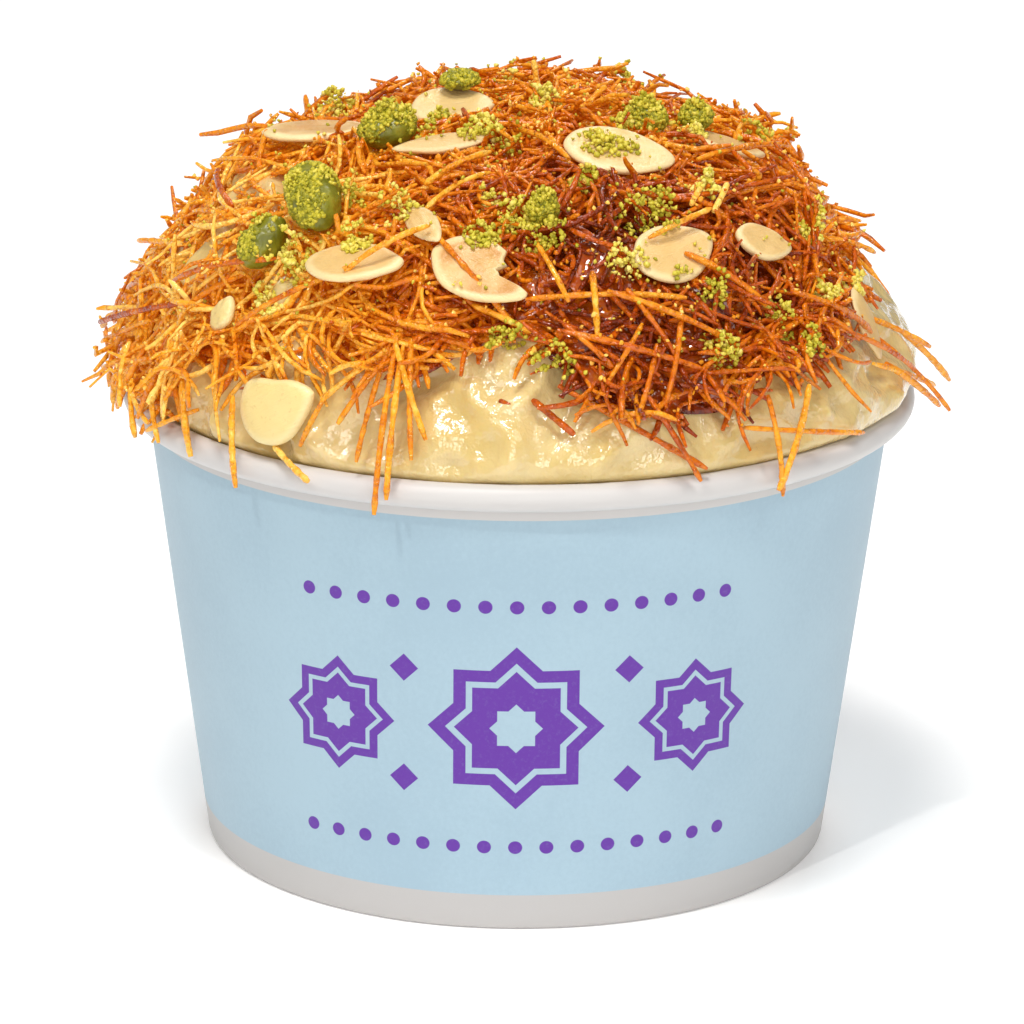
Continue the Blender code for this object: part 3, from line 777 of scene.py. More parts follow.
@dataclass(frozen=True)
class PastryFinish:
    """Fried pastry in syrup: straw gold where it is dry, amber to burnt caramel where it is soaked and, as
    painted shade, deep in the heap; a faint painted glow stands in for light shining through the shreds.
    """

    stops: Ramp = (
        (0.00, srgb(250, 212, 108)),
        (0.20, srgb(240, 168, 42)),
        (0.40, srgb(220, 126, 12)),
        (0.58, srgb(196, 90, 4)),
        (0.76, srgb(152, 54, 2)),
        (0.94, srgb(92, 25, 1)),
    )
    # Painted light: strength of a faint glow in a deeper tone, standing in for light shining through the
    # shreds.
    painted_glow_strength: float = 0.15
    painted_glow_depth: float = 0.22

    def make(self, name: str, shift: float, gloss: float) -> Material:
        """The material.

        Args:
            name: Its name.
            shift: How much darker than the stored tone it is.
            gloss: Weight of the syrup's coat.

        Returns:
            The material.
        """
        graph = ShaderGraph(name)
        patch = graph.noise(graph.place, 210, 2)
        grain = graph.noise(graph.place, 1100, 3, 0.6)
        cells = graph.out("ShaderNodeTexVoronoi", {"Vector": graph.place, "Scale": 1500.0}, "Distance")
        beads = graph.span(cells, 0.0, 0.6, 1.0, 0.0)
        spread = graph.times(graph.minus(patch, 0.5), 0.6)
        speck = graph.times(graph.minus(grain, 0.5), 0.5)
        tone = graph.plus(graph.attribute("tone"), graph.plus(spread, speck))
        tone = graph.plus(tone, shift)
        graph.bumps((grain, 0.45, 0.0004), (beads, 0.8, 0.0003))
        # Painted light: the shreds glow faintly in a deeper tone of their ramp.
        painted_glow_tone = graph.plus(tone, self.painted_glow_depth)
        return graph.finish(
            colour=graph.ramp(tone, self.stops), roughness=0.35, specular=0.06,
            coat=gloss, coat_roughness=0.035,
            emission=graph.ramp(painted_glow_tone, self.stops), emission_strength=self.painted_glow_strength,
        )


@dataclass(frozen=True)
class AlmondFinish:
    """Blanched almond: ivory with a paler cut rim, faint veins and a toasted middle."""

    ivory: Colour = srgb(232, 199, 134)
    rim: Colour = srgb(243, 222, 172)
    toast: Colour = srgb(198, 138, 56)
    vein: Colour = srgb(222, 186, 126)
    pit: Colour = srgb(214, 172, 108)
    name: str = "almond"

    def make(self) -> Material:
        """The material."""
        graph = ShaderGraph(self.name)
        across = graph.out("ShaderNodeUVMap", uv_map="flake")
        stretched = graph.vector("MULTIPLY", across, (3.0, 26.0, 1.0))
        vein = graph.noise(stretched, 1.6, 3, 0.6)
        patch = graph.noise(graph.place, 190, 3)
        fine = graph.noise(graph.place, 1700, 3)
        rim = graph.span(graph.attribute("reach"), 0.74, 0.93)
        toasted = graph.times(graph.attribute("toast"), graph.span(patch, 0.28, 0.60, 0.25, 1.0))
        middle = graph.minus(1.0, rim)
        body = graph.mix(graph.times(toasted, middle), self.ivory, self.toast)
        veined = graph.mix(graph.span(vein, 0.52, 0.75, 0.0, 0.30), body, self.vein)
        veined = graph.mix(graph.span(fine, 0.60, 0.72, 0.0, 0.35), veined, self.pit)
        graph.bumps((vein, 0.4, 0.0004), (fine, 0.4, 0.0002))
        return graph.finish(
            colour=graph.mix(graph.times(rim, 0.55), veined, self.rim),
            roughness=0.34, specular=0.45, coat=0.25, coat_roughness=0.12,
            subsurface=0.2, subsurface_radius=(1.0, 0.85, 0.6), subsurface_scale=0.0015,
        )


@dataclass(frozen=True)
class PistachioFinish:
    """Peeled pistachio: moss to lime green, paler where it is ground."""

    kernel: Ramp = (
        (0.25, srgb(86, 88, 12)),
        (0.5, srgb(124, 122, 22)),
        (0.75, srgb(164, 154, 46)),
    )
    ground: Ramp = (
        (0.0, srgb(130, 126, 18)),
        (0.3, srgb(184, 172, 36)),
        (0.65, srgb(220, 202, 70)),
        (1.0, srgb(242, 224, 124)),
    )

    def whole(self) -> Material:
        """Smooth kernel."""
        graph = ShaderGraph("pistachio_kernel")
        patch = graph.noise(graph.place, 260, 4, 0.6)
        fine = graph.noise(graph.place, 1500, 3)
        graph.bumps((patch, 0.5, 0.0008), (fine, 0.4, 0.0002))
        colour = graph.ramp(patch, self.kernel)
        return graph.finish(colour=colour, roughness=0.4, specular=0.4, coat=0.2, coat_roughness=0.2)

    def crumb(self) -> Material:
        """Ground kernel, each crumb of its own tone, with a faint painted glow."""
        graph = ShaderGraph("pistachio_crumb")
        grain = graph.noise(graph.place, 1400, 3)
        tone = graph.plus(graph.attribute("tone"), graph.span(grain, 0.2, 0.8, -0.15, 0.15))
        graph.bumps((grain, 0.9, 0.0003))
        colour = graph.ramp(tone, self.ground)
        # Painted light: the crumbs glow faintly in their own colour.
        return graph.finish(
            colour=colour, roughness=0.5, specular=0.4, emission=colour, emission_strength=0.06
        )


@dataclass
class Tub:
    """Paper tub: its curled rim, its wall with the print, its folded foot and its recessed bottom."""

    rim_radius: float = 0.0575
    rim_height: float = 0.0669
    curl_radius: float = 0.0019
    curl_start: float = math.radians(-112)
    top_radius: float = 0.05415
    base_radius: float = 0.04545
    board: float = 0.00045
    gap: float = 0.0003
    band_height: float = 0.0055
    fold_height: float = 0.005
    skirt_board: float = 0.0004
    recess_depth: float = 0.0062
    seam_at: float = math.radians(92)
    seam_step: float = 0.00035
    seam_ease: float = 0.006
    seam_end: tuple[float, float] = (0.14, 0.20)
    wave: float = 0.00012
    curl_steps: int = 26
    columns: int = 288
    weld: float = 0.000005

    def outer(self, height: float) -> float:
        """Radius of the outer face at a height."""
        return self.base_radius + (self.top_radius - self.base_radius) * height / self.rim_height

    def wall_lines(self) -> list[tuple[float, float]]:
        """Radius and height of the middle of the board, from the tip of the curl to the inner fold."""
        curl = self.curl_radius - self.board / 2
        middle = self.rim_radius - self.curl_radius
        line = []
        for step in range(self.curl_steps + 1):
            angle = self.curl_start + (math.pi - self.curl_start) * step / self.curl_steps
            line.append((middle + curl * math.cos(angle), self.rim_height + curl * math.sin(angle)))
        top = self.rim_height - 2 * self.curl_radius
        for height in (0.0645, top, 0.056, 0.046, 0.036, 0.026, 0.016, 0.009, self.band_height, 0.003, 0.001):
            line.append((self.outer(height) - self.board / 2, height))
        channel = self.skirt_board + 2 * self.gap + self.board
        foot = self.outer(0.0) - self.board / 2
        line += [(foot, 0.0006), (foot - 0.0002, self.board / 2 + 0.0001), (foot - 0.0006, self.board / 2)]
        line += [(foot - channel + 0.0002, self.board / 2), (foot - channel, 0.0009)]
        line.append((self.outer(self.fold_height) - self.board / 2 - channel, self.fold_height))
        return line

    def sleeve(self, line: Sequence[tuple[float, float]]) -> list[tuple[float, float]]:
        """Closed outline of board that follows a middle line.

        Args:
            line: Radius and height along the middle.

        Returns:
            Points of the outline, the outer face first.
        """
        flat = [Vector(point) for point in line]
        sides: tuple[list, list] = ([], [])
        for index, point in enumerate(flat):
            before = flat[max(index - 1, 0)]
            after = flat[min(index + 1, len(flat) - 1)]
            along = (after - before).normalized()
            normal = Vector((along.y, -along.x)) * self.board / 2
            sides[0].append(tuple(point - normal))
            sides[1].append(tuple(point + normal))
        return sides[0] + sides[1][::-1]

    def lathe(self, name: str, outline: Sequence[tuple[float, float]], wave: float) -> Mesh:
        """Turn a closed outline about the axis.

        Args:
            name: Name of the mesh.
            outline: Radius and height of its points.
            wave: Height of the board's slight waves.

        Returns:
            The closed mesh.
        """
        azimuths = evenly(self.columns)
        count = len(outline)
        points = []
        for azimuth in azimuths:
            lap = smooth_step(0.0, self.seam_ease, azimuth - self.seam_at)
            lap *= 1.0 - smooth_step(*self.seam_end, azimuth - self.seam_at)
            for radius, height in outline:
                out = Vector((math.cos(azimuth), math.sin(azimuth), height * 6))
                ripple = wave * noise.noise(out * 1.7) if radius > 0.02 else 0.0
                outside = smooth_step(-0.1, 0.1, (radius - self.outer(height) + self.board / 2) * 1000)
                step = self.seam_step * lap * outside * float(height > 0.004)
                across = radius + ripple + step
                points.append((across * math.cos(azimuth), across * math.sin(azimuth), height))
        faces = []
        for column in range(self.columns):
            here, there = column * count, (column + 1) % self.columns * count
            for i in range(count):
                j = (i + 1) % count
                faces.append((here + i, there + i, there + j, here + j))
        mesh = bpy.data.meshes.new(name)
        mesh.from_pydata(points, [], faces)
        shape = bmesh.new()
        shape.from_mesh(mesh)
        bmesh.ops.remove_doubles(shape, verts=shape.verts, dist=self.weld)
        bmesh.ops.recalc_face_normals(shape, faces=shape.faces)
        shape.to_mesh(mesh)
        shape.free()
        return mesh

    def build(self, finish: BoardFinish) -> None:
        """Make the wall and the bottom.

        Args:
            finish: Finish of the board.
        """
        white, blue = finish.bare(), finish.printed()
        wall = self.lathe("tub_wall", self.sleeve(self.wall_lines()), self.wave)
        wall.materials.append(white)
        wall.materials.append(blue)
        top = self.rim_height - 2 * self.curl_radius
        for face in wall.polygons:
            across = math.hypot(face.center.x, face.center.y)
            printed = self.band_height < face.center.z < top
            face.material_index = int(printed and across > self.outer(face.center.z) - self.board / 2)
        add_piece("paper_tub", wall, (), ("tub_wall",))
        deck = self.recess_depth + self.skirt_board
        skirt = self.outer(0.004) - self.board - self.gap
        hem = self.board + self.gap
        low = self.skirt_board
        foot = self.outer(hem) - self.board - self.gap
        outline = [(radius, deck) for radius in (0.0, 0.015, 0.030, skirt - 0.0016)]
        outline += [(skirt - 0.0006, deck - 0.0001), (skirt - 0.0001, deck - 0.0008), (skirt, deck - 0.0016)]
        outline += [(foot, hem), (foot - low, hem), (skirt - low, deck - 0.0018)]
        outline += [(radius, deck - low) for radius in (skirt - low - 0.0008, 0.030, 0.015, 0.0)]
        bottom = self.lathe("tub_bottom", outline, 0.0)
        add_piece("tub_base", bottom, (white,), ("tub_bottom",))


@dataclass
class CreamFilling:
    """Clotted cream that fills the tub and swells over the rim in soft folds."""

    columns: int = 360
    dome_rows: int = 130
    fold: float = 0.0026
    fold_scale: float = 62.0
    fine_fold: float = 0.0012
    fine_fold_scale: float = 150.0
    ripple: float = 0.00012
    ripple_scale: float = 420.0
    bare_span: tuple[float, float] = (0.80, 1.02)
    calm_span: tuple[float, float] = (math.radians(85), math.radians(89))
    floor: float = 0.0071
    floor_round: float = 0.0012
    wall_gap: float = 0.0004
    levels: tuple[float, ...] = (0.064, 0.055, 0.040, 0.025, 0.012, 0.0081)
    sunk: float = 0.92
    # Azimuth, polar angle and radius.
    dollops: tuple[tuple[float, float, float], ...] = (
        (196, 57, 0.0085), (203, 66, 0.0075), (189, 69, 0.0070), (187, 52, 0.0050), (231, 73, 0.0060),
        (205, 45, 0.0045), (225, 63, 0.0035), (120, 66, 0.0070), (40, 66, 0.0065),
    )

    def folds(self, place: Vector) -> float:
        """Height of the folds at a place.

        Args:
            place: The place on the mound.

        Returns:
            Height above the plain dome.
        """
        wide = place * self.fold_scale
        bent = wide + 0.9 * noise.noise_vector(wide * 0.7)
        ridge = 1.0 - math.sqrt(noise.noise(bent) ** 2 + 0.006) * 2.6
        near = place * self.fine_fold_scale
        curl = 1.0 - math.sqrt(noise.noise(near + 0.6 * noise.noise_vector(near * 0.6)) ** 2 + 0.006) * 2.4
        ripple = self.ripple * noise.noise(place * self.ripple_scale)
        return self.fold * (ridge - 0.42) + self.fine_fold * (curl - 0.5) + ripple

    def place(self, azimuth: float, row: int) -> Vector:
        """Point of the filling's skin.

        Args:
            azimuth: Azimuth in radians.
            row: Row, counted from the crown.

        Returns:
            The point.
        """
        if row <= self.dome_rows:
            polar = math.radians(90) * row / self.dome_rows
            out = MOUND.direction(azimuth, polar)
            bare = smooth_step(*self.bare_span, polar / MOUND.edge(azimuth))
            calm = 1.0 - smooth_step(*self.calm_span, polar)
            lift = self.folds(out * MOUND.cream_reach) * bare * calm
            return MOUND.point(azimuth, polar, MOUND.cream(azimuth, polar) + lift)
        tub = Tub()
        step = row - self.dome_rows - 1
        last = len(self.levels)
        height = self.levels[step] if step < last else self.floor
        radius = tub.outer(height) - tub.board - self.wall_gap
        if step >= last:
            radius = (radius - self.floor_round) if step == last else 0.0
        return Vector((radius * math.cos(azimuth), radius * math.sin(azimuth), height))

    def dollop(self, azimuth: float, polar: float, radius: float) -> Mesh:
        """A lump of cream that shows between the shreds.

        Args:
            azimuth: Azimuth in degrees.
            polar: Polar angle in degrees.
            radius: Its radius.

        Returns:
            The closed mesh.
        """
        at = (math.radians(azimuth), math.radians(polar))
        out = MOUND.direction(*at)
        middle = MOUND.point(*at, MOUND.heap(*at)) - out * radius * self.sunk
        shape = bmesh.new()
        bmesh.ops.create_icosphere(shape, subdivisions=5, radius=1.0)
        for vertex in shape.verts:
            spot = middle + vertex.co * radius
            swell = 1.0 + 0.22 * noise.noise(vertex.co * 1.6 + middle * 300)
            vertex.co = middle + vertex.co * (radius * swell + self.folds(spot) * 0.5)
        mesh = bpy.data.meshes.new("dollop")
        shape.to_mesh(mesh)
        shape.free()
        return mesh

    def build(self, finish: CreamFinish) -> None:
        """Make the filling and the lumps in the heap.

        Args:
            finish: Finish of the cream.
        """
        cream = finish.make()
        rows = self.dome_rows + len(self.levels) + 2
        mesh = grid_mesh("cream", self.place, evenly(self.columns), rows, True)
        add_piece("cream_filling", mesh, (cream,), ("cream",))
        lumps = [self.dollop(*spec) for spec in self.dollops]
        add_piece("cream_lumps", joined("lumps", lumps), (cream,))


class FlakeForm(Enum):
    """How an almond piece was cut: thickness profile power of its rim."""

    SLICE = 9.0
    SLIVER = 2.4
    CHUNK = 4.0


@dataclass
class AlmondFlakes:
    """Sliced almonds, each made afresh in the place and at the size of its CAD node."""

    forms: Mapping[str, FlakeForm] = field(
        default_factory=lambda: {
            "almond_sliver": FlakeForm.SLIVER,
            "almond_on_cream": FlakeForm.SLIVER,
            "almond_splinter": FlakeForm.SLIVER,
            "almond_thick": FlakeForm.CHUNK,
            "almond_bit": FlakeForm.CHUNK,
        }
    )
    toasted: Mapping[str, float] = field(
        default_factory=lambda: {
            "almond_left_rim": 0.9, "almond_broken": 1.0, "almond_right_edge_on": 0.5, "almond_crown": 0.0,
            "almond_right_crown": 0.0, "almond_splinter": 0.4,
        }
    )
    bites: tuple[tuple[float, float, float], ...] = ((0.62, 0.50, 0.62), (1.05, 0.36, 0.30))
    segments: int = 72
    rings: int = 14
    taper: float = 0.20
    point: float = 0.22
    thickness: float = 0.86
    wedge: float = 0.42
    wobble: float = 0.035
    warp: float = 0.00016

    def axes(self, node: str) -> tuple[Vector, Matrix, Vector]:
        """Middle, axes and size of a CAD flake.

        Args:
            node: Name of the node.

        Returns:
            Its middle, a matrix with its length, width and face axes as columns, and its size.
        """
        mesh = merged_copy(node)
        spots = np.array([vertex.co for vertex in mesh.vertices])
        bpy.data.meshes.remove(mesh)
        centred = spots - spots.mean(axis=0)
        turned = np.linalg.svd(centred, full_matrices=False)[2]
        local = centred @ turned.T
        width_ahead = np.abs(local[local[:, 0] > 0][:, 1]).mean()
        width_behind = np.abs(local[local[:, 0] < 0][:, 1]).mean()
        if width_ahead > width_behind:
            turned[0] *= -1
        out = spots.mean(axis=0) - np.array((0.0, 0.0, MOUND.height))
        if turned[2] @ out < 0:
            turned[2] *= -1
        turned[1] = np.cross(turned[2], turned[0])
        local = centred @ turned.T
        low, high = local.min(axis=0), local.max(axis=0)
        middle = spots.mean(axis=0) + ((low + high) / 2) @ turned
        return Vector(middle), Matrix(turned.T.tolist()), Vector(high - low)

    def bitten(self, angle: float) -> float:
        """Share of the radius that is left at an angle of the broken flake."""
        left = 1.0
        for at, wide, deep in self.bites:
            near = 1.0 - smooth_step(0.55, 1.0, abs(angle - at) / wide)
            left = min(left, 1.0 - deep * near)
        return left + 0.05 * noise.noise(Vector((angle * 7, 3.0, 0.0))) * (left < 0.98)

    def mesh(self, node: str) -> Mesh:
        """One flake.

        Args:
            node: CAD node that it stands for.

        Returns:
            Its closed mesh, with its UV map and its stored values.
        """
        middle, axes, size = self.axes(node)
        power = self.forms.get(node, FlakeForm.SLICE).value
        seed = Vector((len(node) * 1.7, middle.x * 400, middle.z * 400))
        reaches = [math.sin(math.pi / 2 * ring / self.rings) ** 0.9 for ring in range(self.rings + 1)]
        sheet = [(reach, 1.0) for reach in reaches] + [(reach, -1.0) for reach in reversed(reaches[:-1])]
        flat, stored = [], []

        def spot(angle: float, row: int) -> Vector:
            """Point of the flake.

            Args:
                angle: Angle round its middle, in radians.
                row: Row, counted from the middle of its top.

            Returns:
                The point.
            """
            reach, side = sheet[row]
            round_it = Vector((math.cos(angle), math.sin(angle), 0))
            wobble = 1.0 + self.wobble * noise.noise(round_it * 1.8 + seed)
            left = self.bitten(angle % math.tau) if node == "almond_broken" else 1.0
            if node == "almond_thick":
                corner = (abs(math.cos(angle)) ** 3 + abs(math.sin(angle)) ** 3) ** (-1 / 3)
                slant = 1.0 - self.wedge * max(math.sin(angle + 0.5), 0.0) ** 2
                left = min(corner * slant, 1.0)
            along = reach * math.cos(angle) * left * wobble
            narrow = (1.0 - self.taper * along) * (1.0 - self.point * along * along)
            across = reach * math.sin(angle) * left * wobble * narrow
            round_off = max(1.0 - reach**power, 0.0) ** (0.5 if power > 3 else 0.62)
            dish = 1.0 - 0.22 * (1 - reach * reach) if power > 8 else 1.0
            up = side * round_off * dish * size.z * self.thickness / 2
            up += self.warp * noise.noise(Vector((along * 2.2, across * 2.2, side)) + seed)
            flat.append((along * 0.5 + 0.5, across * 0.5 + 0.5))
            stored.append(reach)
            return middle + axes @ Vector((along * size.x / 2, across * size.y / 2, up))

        rows = len(sheet) - 1
        mesh = grid_mesh(node, spot, evenly(self.segments), rows, True)
        layer = mesh.uv_layers.new(name="flake")
        for loop in mesh.loops:
            layer.data[loop.index].uv = flat[loop.vertex_index]
        write_attribute(mesh, "reach", stored)
        write_attribute(mesh, "toast", [self.toasted.get(node, 0.25)] * len(stored))
        return mesh

    def build(self, finish: AlmondFinish) -> list[Piece]:
        """Make every flake.

        Args:
            finish: Finish of the almonds.

        Returns:
            The flakes.
        """
        dry = finish.make()
        soaked = AlmondFinish(
            ivory=srgb(236, 214, 146), rim=srgb(242, 226, 170), toast=srgb(226, 196, 116),
            name="soaked_almond",
        ).make()
        made = []
        for name in sorted(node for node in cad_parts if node.startswith("almond")):
            material = soaked if self.forms.get(name) is FlakeForm.CHUNK else dry
            made.append(add_piece(f"flaked_{name}", self.mesh(name), (material,), (name,)))
        return made


@dataclass
class PistachioKernels:
    """Whole and broken pistachio kernels, smoothed and knobbled from their CAD nodes."""

    smoothing: int = 3
    knob: float = 0.00035
    swell: float = 0.0004
    squashed: Mapping[str, float] = field(default_factory=lambda: {"pistachio_crown": 0.72})

    def build(self, finish: PistachioFinish) -> list[Piece]:
        """Make every kernel.

        Args:
            finish: Finish of the kernels.

        Returns:
            The kernels.
        """
        made = []
        material = finish.whole()
        for name in sorted(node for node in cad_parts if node.startswith("pistachio")):
            carrier = link_object("carrier", merged_copy(name))
            smooth = carrier.modifiers.new("smooth", "SUBSURF")
            smooth.levels = smooth.render_levels = self.smoothing
            graph = bpy.context.evaluated_depsgraph_get()
            mesh = bpy.data.meshes.new_from_object(carrier.evaluated_get(graph))
            bpy.data.objects.remove(carrier)
            normals = [vertex.normal.copy() for vertex in mesh.vertices]
            floor = min(vertex.co.z for vertex in mesh.vertices)
            squash = self.squashed.get(name, 1.0)
            for vertex, normal in zip(mesh.vertices, normals):
                knob = noise.noise(vertex.co * 420) + 0.5 * noise.noise(vertex.co * 1100)
                vertex.co += normal * (self.knob * knob + self.swell)
                vertex.co.z = floor + (vertex.co.z - floor) * squash
            made.append(add_piece(f"kernel_{name}", mesh, (material,), (name,)))
        return made


class KernelCoat:
    """Geometry Nodes that stick crumbs to the kernels, all but a bare patch on each."""

    density: float = 12.0e6
    sizes: tuple[float, float] = (0.00014, 0.00042)

    def __init__(self) -> None:
        """Build the tree."""
        graph = GeometryGraph("kernel_coat")
        self.graph = graph
        density, smallest, largest = graph.floats("Density", "Smallest", "Largest")
        material = graph.socket("Material", "Material")
        wanted = graph.times(density, graph.stored("coat"))
        points = graph.out("GeometryNodeDistributePointsOnFaces", {0: graph.surface, 4: wanted, 6: 4})
        points = graph.store(points, "tone", graph.random(-0.1, 0.5, 41))
        crumb = graph.out("GeometryNodeMeshIcoSphere", {0: 1.0, 1: 1})
        size = graph.random(smallest, largest, 42)
        crumbs = graph.out("GeometryNodeInstanceOnPoints", {0: points, 2: crumb, 6: size})
        crumbs = graph.out("GeometryNodeRealizeInstances", {0: crumbs})
        graph.close(graph.jogged(crumbs, 2400.0), material)

    def build(self, kernels: Sequence[Piece], finish: PistachioFinish) -> None:
        """Coat the kernels.

        Args:
            kernels: The kernels.
            finish: Finish of the crumbs.
        """
        mesh = joined("coated", [kernel.data for kernel in kernels])
        coat = []
        for vertex in mesh.vertices:
            patch = noise.noise(vertex.co * 210) + 0.5 * noise.noise(vertex.co * 520)
            upward = vertex.normal.z * 0.55 - vertex.normal.x * 0.25 + 0.6 * float(vertex.co.x > -0.012)
            coat.append(smooth_step(0.0, 0.25, patch + upward))
        write_attribute(mesh, "coat", coat)
        smallest, largest = self.sizes
        values = {"Density": self.density, "Smallest": smallest, "Largest": largest}
        values["Material"] = finish.crumb()
        add_piece("kernel_crumbs", self.graph.run(mesh, values))


@dataclass(frozen=True)
class ShredLayer:
    """One layer of shreds: how many, how long and how they lie."""

    name: str
    density: float
    lengths: tuple[float, float]
    radius: float
    lifts: tuple[float, float]
    stiffness: float
    seed: int
    # How much darker the layer's shreds are: painted shade that darkens the lower layers and pales the upper
    # ones.
    tone: float = 0.0
    comb: float = 0.0
    bend: float = 0.0016
    steep: float = 0.10
    rise: float = 0.0
    weight: str = "cover"


def skin(graph: GeometryGraph, curves: Socket, radius: Socket, sides: int) -> Socket:
    """Give shreds their knobbly skin with rounded ends.

    Args:
        graph: The tree.
        curves: The laid shreds.
        radius: Their radius.
        sides: Number of sides.

    Returns:
        The mesh.
    """
    place = graph.out("GeometryNodeInputPosition")
    along = graph.out("GeometryNodeSplineParameter")
    centred = graph.math("ABSOLUTE", graph.math("MULTIPLY_ADD", along, 2.0, -1.0))
    end = graph.span(centred, 0.86, 1.0, 1.0, 0.62)
    knobs = graph.span(graph.noise(place, 750.0, 1.0), 0.25, 0.75, 0.82, 1.2)
    girth = graph.times(graph.times(radius, graph.stored("girth")), knobs)
    ring = graph.out("GeometryNodeCurvePrimitiveCircle", {0: sides, 4: 1.0})
    size = graph.times(girth, end)
    return graph.out("GeometryNodeCurveToMesh", {0: curves, 1: ring, 2: size, 3: True})


